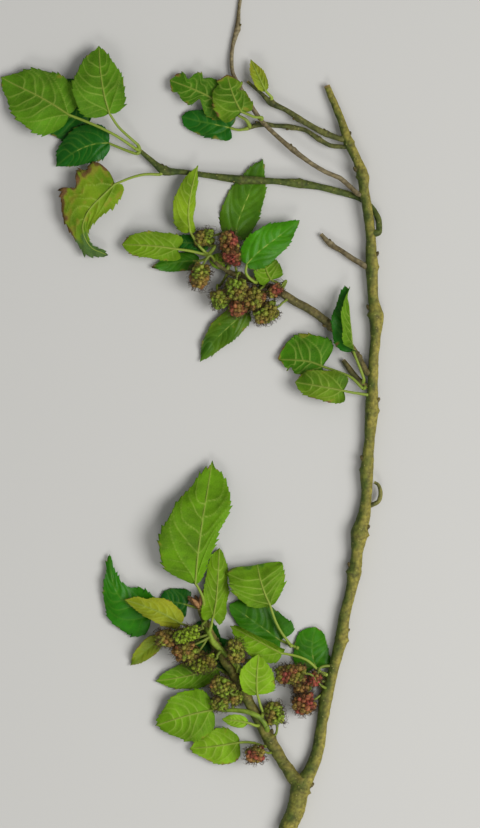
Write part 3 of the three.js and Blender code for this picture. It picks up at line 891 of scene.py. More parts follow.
@dataclass
class Leaf:
    """One leaf: a toothed, veined blade on its petiole.

    Attributes:
        place: the CAD node whose rings it is laid through, and how it is moved from there.
        look: its colours and condition.
        seed: varies its detail.
        name: the piece's name.
        thick: the blade's thickness at the midrib, in millimetres.
        thinner: how much thinner the margin is.
        wave: how far the margin waves up and down.
        wave_size: the usual width of those waves.
        quilt: how far the blade swells between two veins.
        quilt_size: how far from a vein that swelling is full.
        groove: how deep a vein is on the upper side.
        ridge: how high a vein stands on the underside.
        petiole: the petiole's radius in the wood, where it leaves it, and at the blade.
        midrib: the midrib's radius at the blade's base and near its tip.
    """

    place: Place
    look: LeafLook
    seed: int
    name: str
    thick: float = 0.24
    thinner: float = 0.1
    wave: float = 0.5
    wave_size: float = 11.0
    quilt: float = 0.3
    quilt_size: float = 1.5
    groove: float = 0.05
    ridge: float = 0.16
    petiole: tuple[float, float, float] = (0.8, 0.56, 0.46)
    midrib: tuple[float, float] = (0.4, 0.1)

    BROAD_BLOTCH = 13.0
    SMALL_BLOTCH = 3.2
    UPPER_VEINS_SHOWN = 0.3
    UNDER_VEINS_SHOWN = 0.56
    FIRST_RIB_ROW = 14
    LAST_RIB_ROW = 6
    RIB_POINTS = 12
    RIB_SINK = 0.05

    def build(self, finishes: list[bpy.types.Material], tree: Tree) -> bpy.types.Object:
        """Makes the leaf.

        Args:
            finishes: materials of the upper side, the underside and the petiole.
            tree: the wood it grows from.

        Returns:
            The leaf's object.
        """
        loft = Loft.of_node(self.place.node, thin_end_first=True)
        loft = Loft(*(self.place.move(part, loft.start)
                      for part in (loft.start, loft.end, loft.rings)))
        blade = Blade.of_loft(loft, self.look.bites)
        blade.tooth(self.seed)
        veins, nearest = blade.veins(self.seed + 1)
        share = np.abs(blade.across)
        wave = Ripple(self.seed, self.wave_size).at(blade.points) * self.wave * share ** 2
        quilt = self.quilt * (1 - np.exp(-(nearest / self.quilt_size) ** 2)) * (1 - share ** 4)
        middle = blade.points + blade.normals * (wave + quilt)[..., None]
        thick = self.thick - self.thinner * share
        upper = middle + blade.normals * (thick / 2 - self.groove * veins)[..., None]
        lower = middle - blade.normals * (thick / 2 + self.ridge * veins)[..., None]
        draft = Draft()
        self._skins(draft, blade, upper, lower, veins)
        self._rib(draft, loft, blade, lower, tree)
        return draft.build(self.name, finishes)

    def _skins(self, draft: Draft, blade: Blade, upper: np.ndarray, lower: np.ndarray,
               veins: np.ndarray) -> None:
        """Adds both skins of the blade and the rim between them.

        Args:
            draft: where the geometry goes.
            blade: the blade's grid.
            upper: points of the upper skin.
            lower: points of the lower skin.
            veins: strength of the veins.
        """
        rows, columns = veins.shape
        cell = (np.arange(rows - 1)[:, None] * columns + np.arange(columns - 1)).reshape(-1)
        quad = np.stack([cell, cell + columns, cell + columns + 1, cell + 1], 1)
        first = draft.add(upper.reshape(-1, 3), self._tint(blade, veins, True), quad[:, ::-1], 0)
        second = draft.add(lower.reshape(-1, 3), self._tint(blade, veins, False), quad, 1)
        edge = np.arange(rows) * columns
        for line, flip in ((edge, False), (edge + columns - 1, True)):
            top, bottom = line + first, line + second
            rim = np.stack([top[:-1], top[1:], bottom[1:], bottom[:-1]], 1)
            draft.faces.extend(map(tuple, (rim[:, ::-1] if flip else rim).tolist()))
            draft.slots.extend([1] * len(rim))

    def _tint(self, blade: Blade, veins: np.ndarray, on_top: bool) -> np.ndarray:
        """Colours one skin.

        Args:
            blade: the blade's grid.
            veins: strength of the veins.
            on_top: whether this is the upper side.

        Returns:
            One colour for each point.
        """
        look = self.look
        share = np.broadcast_to(np.abs(blade.across), veins.shape)
        broad = Ripple(self.seed + 5, self.BROAD_BLOTCH).at(blade.points)
        small = Ripple(self.seed + 6, self.SMALL_BLOTCH).at(blade.points)
        # Painted light and shade: one half of the blade is painted lighter and the other darker,
        # the side switching from leaf to leaf.
        side_shading = 0.1 * np.clip(blade.across * (1 if self.seed % 2 else -1), -1, 1)
        base = np.array(look.upper if on_top else look.under) * BLADE_TINT
        tint = base * (1 + 0.16 * broad + 0.08 * small + side_shading)[..., None]
        yellow = np.clip(look.yellowed * (0.55 + 0.5 * broad + 0.5 * share ** 2), 0, 0.9)
        tint = blend(tint, YELLOWED, yellow)
        if on_top:
            tint = blend(tint, UPPER_VEIN, veins * self.UPPER_VEINS_SHOWN)
        else:
            tint = blend(tint, UNDER_VEIN, veins * self.UNDER_VEINS_SHOWN)
        edge = share ** (6 - 5 * look.browned) + 0.8 * np.clip((blade.along - 0.82) * 6, 0, 1)
        if look.brown_hand:
            edge = edge * (blade.across * -look.brown_hand > 0)
        bronze = np.clip((edge + 0.5 * small + 1.5 * look.browned - 1.35) * 1.4, 0, 0.55)
        tint = blend(tint, BRONZED, bronze)
        decay = edge * (0.9 + 1.8 * look.browned) + 0.3 * small + 0.2 * broad
        brown = BROWNED * (1 + 0.35 * small)[..., None]
        tint = blend(tint, brown, np.clip((decay - 1.5) * 4, 0, 1))
        if look.tip:
            wither = np.clip((blade.along - look.tip_from + 0.06 * small) * 9, 0, 0.9)
            tone = np.array(look.tip) * (1 + 0.2 * small)[..., None]
            tint = blend(tint, tone, np.broadcast_to(wither, share.shape))
        return np.clip(tint, DARKEST, 1).reshape(-1, 3)

    def _rib(self, draft: Draft, loft: Loft, blade: Blade, lower: np.ndarray,
             tree: Tree) -> None:
        """Adds the petiole and the midrib that runs on under the blade.

        Args:
            draft: where the geometry goes.
            loft: the leaf's rings.
            blade: the blade's grid.
            lower: points of the lower skin.
            tree: the wood it grows from.
        """
        stalk = loft.centres()[:Blade.PETIOLE_RINGS]
        inward = unit(stalk[0] - stalk[1])
        column = lower.shape[1] // 2
        picks = np.linspace(self.FIRST_RIB_ROW, len(lower) - self.LAST_RIB_ROW,
                            self.RIB_POINTS).astype(int)
        rib = lower[picks, column] + blade.normals[picks, column] * self.RIB_SINK
        root = tree.join(stalk[0], inward)
        line = np.concatenate([root, stalk, rib])
        thick = np.concatenate([np.linspace(self.petiole[0], self.petiole[1] + 0.02, len(root)),
                                np.linspace(self.petiole[1] - 0.02, self.petiole[2], len(stalk)),
                                np.linspace(*self.midrib, len(rib))])
        line, thick = smooth(line, 3), smooth(thick, 3)
        tone = PETIOLE * (1 + 0.1 * np.sin(self.seed))
        tone = tone + (np.array(self.look.under) - tone) * 0.25
        draft.tube(line, thick, 9, tone, 2)


@dataclass(frozen=True)
class BarkLook:
    """Colours of one stem's bark, with painted light on one side and painted shade on the other.

    Attributes:
        shady: colour of the side towards -X, painted darker as shade.
        sunny: colour of the side towards +X, painted lighter as light from the right lamp.
        scar: colour of the ring scars.
        wood: colour of a cut end.
        bud: length of its buds in millimetres, 0 for none.
        rough: how uneven its outline is.
        swell: how much thicker it is than its CAD node.
        scales: how many withered scales of an end bud it holds.
    """

    shady: Rgb
    sunny: Rgb
    scar: Rgb = linear(70, 58, 34)
    wood: Rgb = linear(176, 150, 96)
    bud: float = 2.2
    rough: float = 0.045
    swell: float = 1.0
    scales: int = 0


@dataclass
class Stem:
    """One piece of wood with its ring scars and buds.

    Attributes:
        node: the CAD node it replaces.
        look: its bark.
        seed: varies its detail.
        parent: the stem it grows from, or nothing.
    """

    node: str
    look: BarkLook
    seed: int
    parent: str = ""

    STEPS = 8
    FEWEST_SIDES = 12
    SIDES_PER_MM = 6
    KNOT = 1.02
    FLARE = (1.3, 1.03)
    BROAD_LUMP = 5.0
    SMALL_LUMP = 1.6
    NODE_SWELL = 0.3
    NODE_LENGTH = 0.85
    SCAR_DEPTH = 0.06
    SCAR_WIDTH = 0.3
    SCAR_BELOW = 0.8
    BUD_POINTS = 9
    BUD_ABOVE = 3
    BUD_SINK = 0.8
    BUD_HOOK = 0.3
    BUD_WIDTH = 0.36
    SCALE_LENGTH = (4.0, 7.5)
    SCALE_SINK = 0.5

    def build(self, finishes: list[bpy.types.Material], tree: Tree) -> bpy.types.Object:
        """Makes the stem.

        Args:
            finishes: the bark's material.
            tree: the wood built so far, which this stem is added to.

        Returns:
            The stem's object.
        """
        loft = Loft.of_node(self.node, thin_end_first=False)
        radii = loft.radii() * self.look.swell
        line, thick, knots = self._line(loft.centres(), radii, tree)
        tree.lines[self.node] = line
        sides = self.FEWEST_SIDES + int(self.SIDES_PER_MM * float(radii.max()))
        across, _ = frames_along(line)
        spoke = spokes(line, sides)
        skin = line[:, None] + spoke * thick[:, None, None]
        broad = Ripple(self.seed, self.BROAD_LUMP).at(skin)
        small = Ripple(self.seed + 1, self.SMALL_LUMP).at(skin)
        bulge, scar = self._nodes(line, spoke, across, knots)
        squeeze = (1 + self.look.rough * (broad + 0.5 * small)
                   + self.NODE_SWELL * bulge - self.SCAR_DEPTH * scar)
        # Painted light and shade: the side towards +X, where the right lamp stands, is painted
        # lighter and the side towards -X darker.
        lit = np.clip(0.5 + 0.75 * spoke[..., 0] + 0.3 * broad, 0, 1)
        tint = blend(np.array(self.look.shady), np.array(self.look.sunny), lit)
        tint = tint * (1 + 0.14 * small + 0.1 * broad + 0.25 * bulge)[..., None]
        tint = blend(tint, np.array(self.look.scar), np.clip(scar, 0, 1) * 0.8)
        for end in ((-1,) if self.parent else (0, -1)):
            tint[end] = self.look.wood
        draft = Draft()
        draft.tube(line, thick, sides, np.clip(tint, DARKEST, 1), 0, squeeze)
        if self.look.bud:
            self._buds(draft, line, thick, knots, across)
        self._scales(draft, line, thick)
        return draft.build("wood_" + self.node, finishes)

    def _line(self, centres: np.ndarray, radii: np.ndarray,
              tree: Tree) -> tuple[np.ndarray, np.ndarray, list[int]]:
        """Runs a smooth line through the stem's rings, out of the wood it grows from.

        Args:
            centres: the middle of each ring.
            radii: the radius of each ring.
            tree: the wood built so far.

        Returns:
            The middle line, the radius along it, and which of its points are nodes.
        """
        if self.parent:
            away = [np.linalg.norm(tree.lines[self.parent] - centres[end], axis=1).min()
                    for end in (0, -1)]
            if away[1] < away[0]:
                centres, radii = centres[::-1], radii[::-1]
        knots = [i * self.STEPS for i in range(1, len(radii) - 1)
                 if radii[i] > radii[i - 1] * self.KNOT and radii[i] >= radii[i + 1] * self.KNOT]
        line, thick = smooth(centres, self.STEPS), smooth(radii, self.STEPS)
        if self.parent:
            root = tree.join(line[0], unit(line[0] - line[2]), self.parent)
            line = np.concatenate([root, line])
            thick = np.concatenate([thick[0] * np.linspace(*self.FLARE, len(root)), thick])
            knots = [k + len(root) for k in knots]
        return line, thick, knots

    def _nodes(self, line: np.ndarray, spoke: np.ndarray, across: np.ndarray,
               knots: list[int]) -> tuple[np.ndarray, np.ndarray]:
        """Shapes the nodes, which bulge left and right in turn above a ring scar.

        Args:
            line: the stem's middle line.
            spoke: directions from it out to each side.
            across: directions across the stem.
            knots: where the nodes are.

        Returns:
            How far each point of the skin bulges, and how much of it is scar, from 0 to 1.
        """
        arc = arc_length(line)
        bulge, scar = np.zeros((2, *spoke.shape[:2]))
        for count, knot in enumerate(knots):
            gap = (arc - arc[knot])[:, None]
            facing = spoke @ across[knot] * (1 if count % 2 else -1)
            near = np.clip(0.3 + 0.7 * facing, 0.1, 1)
            bulge += np.exp(-(gap / self.NODE_LENGTH) ** 2) * near
            off = gap + self.SCAR_BELOW - 0.5 * facing
            scar += np.exp(-(off / self.SCAR_WIDTH) ** 2) * (0.4 + 0.6 * near)
        return bulge, scar

    def _buds(self, draft: Draft, line: np.ndarray, thick: np.ndarray, knots: list[int],
              across: np.ndarray) -> None:
        """Adds a scaly bud above each ring scar, left and right in turn.

        Args:
            draft: where the geometry goes.
            line: the stem's middle line.
            thick: its radius.
            knots: where the scars are.
            across: directions across the stem.
        """
        rng = np.random.default_rng(self.seed)
        forward = unit(np.gradient(line, axis=0))
        share = np.linspace(0, 1, self.BUD_POINTS)
        for count, knot in enumerate(knots):
            hand = 1 if count % 2 else -1
            foot = line[min(knot + self.BUD_ABOVE, len(line) - 1)]
            out = across[knot] * hand + np.array([0, 0, rng.uniform(0, 0.5)])
            root = foot + unit(out) * thick[knot] * self.BUD_SINK
            length = self.look.bud * rng.uniform(0.6, 1.1) * (0.5 + 0.2 * thick[knot])
            lean = unit(out * 0.75 + forward[knot])
            path = root + lean * (share * length)[:, None]
            path = path - unit(out) * (share ** 2 * self.BUD_HOOK)[:, None]
            scale = 1 + 0.09 * np.cos(share * 19)
            egg = np.sqrt(np.clip(1 - (share * 1.18 - 0.18) ** 2, 0.01, 1))
            body = length * self.BUD_WIDTH * egg * scale
            tone = BUD_SCALE * rng.uniform(0.7, 1.3)
            draft.tube(path, body, 10, tone, 0)

    def _scales(self, draft: Draft, line: np.ndarray, thick: np.ndarray) -> None:
        """Adds the withered scales of the end bud, fanned round the stem's far end.

        Args:
            draft: where the geometry goes.
            line: the stem's middle line.
            thick: its radius.
        """
        rng = np.random.default_rng(self.seed + 2)
        forward = unit(line[-1] - line[-4])
        across, up = frames_along(line[-4:])
        share = np.linspace(0, 1, self.BUD_POINTS)
        for count in range(self.look.scales):
            turn = count * GOLDEN_ANGLE
            out = across[-1] * math.cos(turn) + up[-1] * math.sin(turn)
            length = rng.uniform(*self.SCALE_LENGTH)
            lean = forward + out * (0.5 * share)[:, None]
            path = line[-1] + out * thick[-1] * self.SCALE_SINK + lean * (share * length)[:, None]
            body = 0.2 + 0.65 * np.sin(share * math.pi) ** 0.8
            tone = END_BUD_SCALE * rng.uniform(0.7, 1.25)
            draft.tube(path, body, 8, tone, 0)


@dataclass(frozen=True)
class BerryLook:
    """Colours of one berry.

    Attributes:
        green: colour of its unripe drupelets.
        red: colour of its ripening drupelets.
        ripe: the share of ripening drupelets, from 0 to 1.
        threads: how many dark threads each drupelet still holds.
    """

    green: Rgb = linear(120, 144, 42)
    red: Rgb = linear(146, 70, 58)
    ripe: float = 0.5
    threads: int = 5


@dataclass
class Berry:
    """One berry: drupelets packed round its core, with dark threads, on a stalk.

    Attributes:
        place: the CAD node it follows, and how it is moved from there.
        look: its colours.
        seed: varies its detail.
        name: the piece's name.
    """

    place: Place
    look: BerryLook
    seed: int
    name: str

    STALK_RINGS = 3
    PLUMP = 2.24
    PACKING = 3.7
    LUMP = 0.66
    LUMP_GROWTH = 0.05
    BLUSH = 5.5
    STALK = (0.55, 0.42)
    CURL = 0.55

    def build(self, finishes: list[bpy.types.Material], tree: Tree) -> bpy.types.Object:
        """Makes the berry.

        Args:
            finishes: materials of the drupelets, the threads and the stalk.
            tree: the wood it grows from.

        Returns:
            The berry's object.
        """
        loft = Loft.of_node(self.place.node, thin_end_first=True)
        centres, tip, start = (self.place.move(part, loft.centres()[-3])
                               for part in (loft.centres(), loft.end, loft.start))
        base = centres[self.STALK_RINGS]
        axis = tip - base
        width = self.PLUMP * float(loft.radii()[self.STALK_RINGS:].max()) * self.place.shrink
        root = tree.join(start, unit(start - centres[1]))
        path = smooth(np.concatenate([root, centres[:3], [base + axis * 0.25]]), 3)
        draft = Draft()
        draft.tube(path, np.linspace(*self.STALK, len(path)), 8, BERRY_STALK, 2)
        self._fruit(draft, base, axis, width)
        return draft.build(self.name, finishes)

    def _fruit(self, draft: Draft, base: np.ndarray, axis: np.ndarray, width: float) -> None:
        """Packs the drupelets round the core, in a spiral from the stalk to the tip.

        Args:
            draft: where the geometry goes.
            base: where the fruit meets its stalk.
            axis: from there to the tip.
            width: the fruit's width in millimetres.
        """
        rng = np.random.default_rng(self.seed)
        length = float(np.linalg.norm(axis))
        along = axis / length
        side = unit(np.cross(along, [0.1, 0.2, 1.0]))
        over = np.cross(along, side)
        lump = self.LUMP + self.LUMP_GROWTH * width
        count = int(self.PACKING * length * width / (2 * lump) ** 2)
        blush = Ripple(self.seed, self.BLUSH)
        for k in range(count):
            bearing = k * GOLDEN_ANGLE + rng.uniform(-0.2, 0.2)
            height = 0.06 + 0.88 * (k + 0.5) / count
            belly = math.sin(math.pi * min(1.0, 0.12 + 0.86 * height)) ** 0.45
            out = side * math.cos(bearing) + over * math.sin(bearing)
            rise = (height - 0.5) * 1.5
            normal = unit(out * max(0.25, 1 - rise * rise) + along * rise)
            reach = (width / 2 - lump * 0.9) * belly * rng.uniform(0.9, 1.08)
            centre = base + axis * height + out * reach
            ripe = self.look.ripe + 0.34 * float(blush.at(centre)) + rng.uniform(-0.14, 0.14)
            ripe = min(1.0, max(0.0, ripe)) * (self.look.ripe > 0)
            tone = np.array(self.look.green) * (1 - ripe) + np.array(self.look.red) * ripe
            tone = tone * rng.uniform(0.7, 1.35)
            self._drupelet(draft, centre, normal, lump * rng.uniform(0.82, 1.16), tone)
            for _ in range(self.look.threads):
                lean = unit(normal + rng.normal(size=3) * 0.35)
                self._thread(draft, centre + lean * lump * 0.75, lean, rng)

    @staticmethod
    def _drupelet(draft: Draft, centre: np.ndarray, normal: np.ndarray, size: float,
                  tone: np.ndarray) -> None:
        """Adds one drupelet, a plump knob that closes to a small dimple.

        Args:
            draft: where the geometry goes.
            centre: its middle.
            normal: the way it points.
            size: its radius in millimetres.
            tone: its colour.
        """
        rings, sides, lobes, dimple = 8, 9, 4, 0.12
        angle = np.linspace(dimple, math.pi - dimple, rings)
        line = centre - np.cos(angle)[:, None] * normal * size * 1.12
        ring = np.sin(angle) * size
        pinch = 1 + 0.06 * np.cos(np.arange(sides) * TURN / sides * lobes)
        shade = np.linspace(0.7, 1.1, rings)[:, None, None]
        tint = np.broadcast_to(np.clip(tone * shade, DARKEST, 1), (rings, sides, 3))
        draft.tube(line, ring, sides, tint, 0, np.broadcast_to(pinch, (rings, sides)))

    @staticmethod
    def _thread(draft: Draft, root: np.ndarray, normal: np.ndarray,
                rng: np.random.Generator) -> None:
        """Adds one curly dark thread.

        Args:
            draft: where the geometry goes.
            root: where it grows from.
            normal: the way it starts.
            rng: the source of its shape.
        """
        bend = unit(np.cross(normal, rng.normal(size=3)))
        length = rng.uniform(1.1, 3.0)
        share = np.linspace(0, 1, 6)[:, None]
        curl = np.sin(share * rng.uniform(1.5, 4.0)) * bend * length * Berry.CURL
        path = root + normal * share * (1 - 0.35 * share) * length + curl
        path[:, 2] = np.maximum(path[:, 2], 0.12)
        dark = THREAD * rng.uniform(0.5, 2.2)
        draft.tube(path, np.linspace(0.11, 0.045, 6), 3, dark, 1)


@dataclass(frozen=True)
class Lamp:
    """One lamp of the studio.

    Attributes:
        name: its name.
        place: where it stands, in metres.
        width: how wide it is, in metres.
        power: its power in watts.
        colour: its colour.
    """

    name: str
    place: tuple[float, float, float]
    width: float
    power: float
    colour: Rgb = (1.0, 1.0, 1.0)

    def build(self) -> None:
        """Adds the lamp, aimed at the origin."""
        data = bpy.data.lights.new(self.name, "AREA")
        data.shape = "DISK"
        data.size = self.width
        data.energy = self.power
        data.color = self.colour
        lamp = bpy.data.objects.new(self.name, data)
        lamp.location = self.place
        lamp.rotation_euler = (-Vector(self.place)).to_track_quat("-Z", "Y").to_euler()
        bpy.context.scene.collection.objects.link(lamp)


@dataclass
class Studio:
    """The pale floor, the lamps and the camera.

    Attributes:
        lamps: the lamps.
        sky: brightness of the light from all round.
        floor: colour of the floor.
        middle: where the camera looks, across the object from its middle, in metres.
        lens: the camera's focal length in millimetres.
        height: the tall side of the view at the object, in metres.
    """

    lamps: tuple[Lamp, ...] = (
        Lamp("key", (0.1, -1.15, 1.05), 0.55, 4.4, (1.0, 0.99, 0.97)),
        Lamp("right", (0.85, -0.15, 1.1), 0.9, 15.4),
    )
    sky: float = 0.31
    floor: Rgb = linear(201, 200, 196)
    middle: tuple[float, float] = (0.0173, -0.0002)
    lens: float = 180.0
    height: float = 0.2981

    FLOOR_HALF = 3.0
    FAR_CLIP = 10.0
    FOCUS_HEIGHT = 0.004

    def build(self) -> None:
        """Adds everything and sets the scene's look."""
        scene = bpy.context.scene
        scene.view_settings.view_transform = "Standard"
        world = bpy.data.worlds.new("soft")
        world.use_nodes = True
        world.node_tree.nodes["Background"].inputs["Color"].default_value = (1.0, 1.0, 1.0, 1.0)
        world.node_tree.nodes["Background"].inputs["Strength"].default_value = self.sky
        scene.world = world
        for lamp in self.lamps:
            lamp.build()
        self._floor()
        data = bpy.data.cameras.new("camera")
        data.lens = self.lens
        camera = bpy.data.objects.new("camera", data)
        low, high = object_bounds()
        away = self.height * self.lens / data.sensor_width
        camera.location = ((low[0] + high[0]) / 2 + self.middle[0],
                           (low[1] + high[1]) / 2 + self.middle[1],
                           self.FOCUS_HEIGHT + away)
        data.clip_end = self.FAR_CLIP
        scene.collection.objects.link(camera)
        scene.camera = camera

    def _floor(self) -> None:
        """Adds the floor the sprig lies on."""
        mesh = bpy.data.meshes.new("floor")
        half = self.FLOOR_HALF
        mesh.from_pydata([(-half, -half, 0), (half, -half, 0), (half, half, 0), (-half, half, 0)],
                         [], [(0, 1, 2, 3)])
        paint = bpy.data.materials.new("floor_paint")
        paint.use_nodes = True
        shader = paint.node_tree.nodes["Principled BSDF"]
        shader.inputs["Base Color"].default_value = (*self.floor, 1.0)
        shader.inputs["Roughness"].default_value = 0.9
        shader.inputs["Specular IOR Level"].default_value = 0.1
        mesh.materials.append(paint)
        floor = bpy.data.objects.new("floor", mesh)
        bpy.context.scene.collection.objects.link(floor)
        floor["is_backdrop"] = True


OLD_BARK = BarkLook(linear(74, 88, 28), linear(126, 118, 50))
FORK_BARK = BarkLook(linear(82, 92, 30), linear(112, 104, 46), scales=6)
DARK_BARK = BarkLook(linear(58, 76, 26), linear(84, 92, 36), bud=1.6)
THIN_BARK = BarkLook(linear(100, 88, 58), linear(122, 112, 84), bud=1.7)
SHOOT_BARK = BarkLook(linear(66, 74, 34), linear(98, 98, 48), bud=1.8)
FRUIT_BARK = BarkLook(linear(76, 76, 40), linear(102, 92, 52), bud=2.0)
GREEN_SHOOT = BarkLook(linear(104, 132, 36), linear(128, 150, 48), linear(90, 100, 40), bud=0,
                       swell=1.3)
CURLED_BARK = BarkLook(linear(88, 90, 40), linear(122, 118, 60), bud=0, swell=1.3)

PARENTS = {"main_stem": "", "fork_shoot_high": "fork_branch", "fork_shoot_low": "fork_branch"}

STEMS = {
    "main_stem": OLD_BARK, "fork_branch": FORK_BARK, "long_branch": DARK_BARK,
    "thin_twig": THIN_BARK, "upper_shoot_a": SHOOT_BARK, "upper_shoot_b": SHOOT_BARK,
    "dead_stub": THIN_BARK, "mid_fruit_branch": FRUIT_BARK, "spur_stub": FRUIT_BARK,
    "curled_shoot": CURLED_BARK, "fork_shoot_high": GREEN_SHOOT, "fork_shoot_low": GREEN_SHOOT,
}

FRESH = LeafLook()
BRIGHT = LeafLook(under=linear(124, 160, 38), upper=linear(66, 128, 18))
# Painted shade: the upper side's own deep green, darkened further for leaves that lie in shadow
# under and behind others.
DEEP_AND_SHADED = LeafLook(under=linear(64, 110, 20), upper=linear(22, 86, 24))
SUNLIT = LeafLook(under=linear(84, 126, 30), upper=linear(34, 96, 26))

LEAVES = {
    "leaf_a1": SUNLIT, "leaf_a2": SUNLIT, "leaf_a3": DEEP_AND_SHADED, "leaf_a3b": DEEP_AND_SHADED,
    "leaf_a4": LeafLook(linear(102, 136, 28), linear(44, 84, 34), 0.68, 0.12,
                        (Bite(0.16, 1, 0.2, 0.05), Bite(0.3, 1, 0.35, 0.05)), 1,
                        linear(62, 92, 46)),
    "leaf_b1": LeafLook(linear(66, 110, 24), linear(34, 92, 20), 0.2, 0.0,
                        (Bite(0.42, -1, 0.6, 0.08), Bite(0.72, 1, 0.5, 0.06),
                         Bite(0.5, 1, 0.25, 0.04), Bite(0.78, -1, 0.3, 0.05))),
    "leaf_b2": LeafLook(linear(78, 120, 28), linear(40, 96, 20), 0.4, 0.1,
                        (Bite(0.55, 1, 0.4, 0.06), Bite(0.8, -1, 0.3, 0.06))),
    "leaf_b3": LeafLook(linear(64, 108, 22), linear(28, 92, 26), 0.2),
    "leaf_b4": LeafLook(linear(98, 132, 34), linear(54, 108, 18), 0.1, 0.45),
    "leaf_c1": LeafLook(linear(118, 150, 32), linear(60, 116, 16), 0.1, 0.1),
    "leaf_c2": LeafLook(linear(104, 146, 30), linear(70, 116, 26), 0.1, 0.05),
    "leaf_c3": LeafLook(linear(84, 136, 20), linear(62, 124, 10), 0.06),
    "leaf_c4": LeafLook(linear(98, 134, 26), linear(52, 110, 14), 0.28, 0.05),
    "leaf_c5": LeafLook(linear(84, 118, 22), linear(54, 104, 18), 0.3, 0.0,
                        tip=linear(72, 46, 32), tip_from=0.9),
    "leaf_c6": LeafLook(linear(106, 144, 34)),
    "leaf_c7": LeafLook(linear(84, 118, 22), linear(58, 100, 18), 0.22, 0.1),
    "leaf_d1": LeafLook(linear(88, 124, 30), linear(36, 100, 26), 0.05),
    "leaf_d2": LeafLook(linear(64, 114, 18), linear(32, 92, 14), 0.24, 0.0,
                        (Bite(0.95, -1, 0.65, 0.1), Bite(0.7, -1, 0.4, 0.07))),
    "leaf_d3": LeafLook(linear(62, 108, 20), linear(36, 94, 14), 0.24, 0.12),
    "leaf_e1": LeafLook(linear(94, 134, 22), linear(54, 108, 14), 0.03, 0.0,
                        (Bite(0.3, 1, 0.5, 0.35),)),
    "leaf_e2": LeafLook(linear(102, 136, 24), linear(40, 100, 16), 0.06),
    "leaf_e3": LeafLook(linear(96, 132, 26), linear(40, 92, 22), 0.1, 0.0,
                        tip=linear(46, 84, 24), tip_from=0.93),
    "leaf_e4": LeafLook(linear(96, 134, 26), linear(44, 112, 10), 0.1),
    "leaf_e5": LeafLook(linear(122, 142, 32), linear(60, 110, 16), 0.34, 0.42,
                        (Bite(0.66, 1, 0.35, 0.08),), 1),
    "leaf_e6": LeafLook(linear(108, 124, 26), linear(90, 114, 26), 0.3, 0.2),
    "leaf_e7": DEEP_AND_SHADED,
    "leaf_e8": LeafLook(linear(112, 150, 30), linear(52, 110, 14), 0.06),
    "leaf_e9": LeafLook(linear(90, 130, 24), linear(54, 110, 14), 0.06),
    "leaf_e10": BRIGHT,
    "leaf_e11": LeafLook(linear(96, 136, 24), linear(60, 124, 18), 0.12),
    "leaf_e12": LeafLook(linear(88, 128, 22), linear(48, 104, 14), 0.12),
    "leaf_e13": LeafLook(linear(104, 144, 26), linear(56, 112, 14), 0.12),
    "leaf_e14": LeafLook(linear(122, 158, 38), linear(56, 112, 14), 0.3, 0.0,
                         tip=linear(70, 52, 36), tip_from=0.95),
    "leaf_e15": BRIGHT,
}

BERRIES = {
    "berry_m1": BerryLook(ripe=0.6), "berry_m2": BerryLook(ripe=0.75),
    "berry_m3": BerryLook(ripe=0.2), "berry_m4": BerryLook(ripe=0.35),
    "berry_m5": BerryLook(ripe=0.3), "berry_e1": BerryLook(linear(126, 152, 34), ripe=0.0),
    "berry_e2": BerryLook(ripe=0.45), "berry_e3": BerryLook(linear(122, 140, 34), ripe=0.06),
    "berry_e4": BerryLook(ripe=0.25), "berry_e5": BerryLook(ripe=0.1),
    "berry_e6": BerryLook(ripe=0.08), "berry_e7": BerryLook(ripe=0.65),
    "berry_e8": BerryLook(ripe=0.45), "berry_e9": BerryLook(ripe=0.8),
}


MORE_BERRIES = {
    "berry_more_1": (Place("berry_m3", (-5.6, -3.4, -1.6), 20, 0.85), BerryLook(ripe=0.15)),
    "berry_more_2": (Place("berry_m4", (-6.0, -2.6, -1.4), -30, 0.85), BerryLook(ripe=0.6)),
    "berry_more_3": (Place("berry_m2", (0.8, -5.6, 0.4), 60, 0.8), BerryLook(ripe=0.9)),
    "berry_more_4": (Place("berry_m2", (-9.5, 1.2, -1.8), 90, 0.85), BerryLook(ripe=0.2)),
    "berry_more_5": (Place("berry_m5", (3.4, 8.0, 0.6), 10, 0.62), BerryLook(ripe=0.7)),
    "berry_more_6": (Place("berry_e5", (-1.0, -6.4, -1.4), 40, 0.72), BerryLook(ripe=0.05)),
    "berry_more_7": (Place("berry_e5", (5.4, -4.6, -3.0), 80, 0.7), BerryLook(ripe=0.1)),
    "berry_more_8": (Place("berry_e2", (4.0, -3.0, -1.6), 30, 0.8), BerryLook(ripe=0.3)),
    "berry_more_9": (Place("berry_e2", (-6.6, 4.6, 0.4), -30, 0.85), BerryLook(ripe=0.35)),
    "berry_more_10": (Place("berry_e9", (-0.6, 6.4, -0.4), -10, 0.78), BerryLook(ripe=0.6)),
    "berry_more_11": (Place("berry_e9", (4.2, 8.6, 0.8), 40, 0.6), BerryLook(ripe=0.95)),
}

MORE_LEAVES = {
    "leaf_more_1": (Place("leaf_e9", (-15.6, -5.0, -0.5), 28, 0.9), DEEP_AND_SHADED),
    "leaf_more_3": (Place("leaf_c5", (3.4, 5.0, 1.4), -12, 0.95), DEEP_AND_SHADED),
    "leaf_more_4": (Place("leaf_e11", (-36.5, 6.5, 0.0), 15, 0.85), DEEP_AND_SHADED),
    "leaf_more_2": (Place("leaf_c6", (-17.6, 8.0, -1.2), 50, 0.6), FRESH),
}


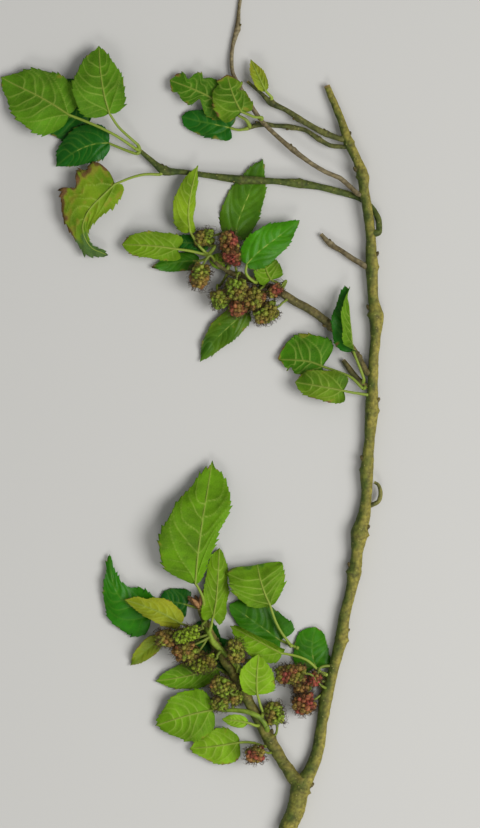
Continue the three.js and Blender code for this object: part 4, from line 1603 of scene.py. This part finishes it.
@dataclass
class Sprig:
    """Builds the whole sprig, stems first.

    Attributes:
        bark: finish of the wood.
        greenwood: finish of green shoots, petioles and stalks.
        upper: finish of the leaves' upper side.
        under: finish of the leaves' underside.
        flesh: finish of the drupelets.
        thread: finish of the dark threads.
    """

    bark: Finish = Finish("bark", 0.7, Grain.BARK, 1.9, 0.16, 0.42, 0.6)
    greenwood: Finish = Finish("greenwood", 0.5, Grain.SKIN, 0.9, 0.04, 0.12)
    upper: Finish = Finish("leaf_upper", 0.36, Grain.CELLS, 0.8, 0.05, 0.1, 0.1,
                           linear(60, 96, 22), 0.14)
    under: Finish = Finish("leaf_under", 0.6, Grain.CELLS, 0.8, 0.07, 0.1, 0.1,
                           linear(150, 176, 50), 0.1)
    flesh: Finish = Finish("drupelet", 0.55, Grain.SKIN, 0.45, 0.08, 0.5, gloss=0.2)
    thread: Finish = Finish("thread", 0.6, Grain.SKIN, 0.3, 0.01, 0.2)

    RIPENING = 0.3

    def build(self) -> None:
        """Builds every piece and ties it to the frame."""
        bark, greenwood = self.bark.material(), self.greenwood.material()
        leaf = [self.upper.material(), self.under.material(), greenwood]
        fruit = [self.flesh.material(), self.thread.material(), greenwood]
        tree = Tree()
        slots = {s["node"]: s["material_slot"] for s in frame["record"]["subparts"]}
        for seed, (node, look) in enumerate(STEMS.items()):
            wood = greenwood if look is GREEN_SHOOT else bark
            piece = Stem(node, look, 11 + seed * 7, PARENTS.get(node, "main_stem")).build(
                [wood], tree)
            self._tie(piece, slots[node], node)
        for seed, (node, look) in enumerate(LEAVES.items()):
            piece = Leaf(Place(node), look, 211 + seed * 13, "blade_" + node).build(leaf, tree)
            self._tie(piece, slots[node], node)
        for seed, (node, look) in enumerate(BERRIES.items()):
            piece = Berry(Place(node), look, 811 + seed * 17, "fruit_" + node).build(fruit, tree)
            self._tie(piece, slots[node], node)
        for seed, (name, (place, look)) in enumerate(MORE_LEAVES.items()):
            self._tie(Leaf(place, look, 1511 + seed, name).build(leaf, tree), "leaf_green")
        for seed, (name, (place, look)) in enumerate(MORE_BERRIES.items()):
            self._tie(Berry(place, look, 1811 + seed, name).build(fruit, tree),
                      "berry_unripe" if look.ripe < self.RIPENING else "berry_ripening")

    @staticmethod
    def _tie(piece: bpy.types.Object, slot: str, node: str = "") -> None:
        """Makes a piece follow the frame.

        Args:
            piece: the piece.
            slot: its material slot in the record; not used.
            node: the CAD node it replaces, if there is one.
        """
        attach(piece, ROOT)
        if node:
            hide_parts(node)
        log.info("%s: %d faces", piece.name, len(piece.data.polygons))


def main() -> None:
    """Builds the studio and the sprig and notes the sizes."""
    logging.basicConfig(level=logging.INFO, format="%(name)s %(message)s")
    Studio().build()
    Sprig().build()


if __name__ == "__main__":
    main()
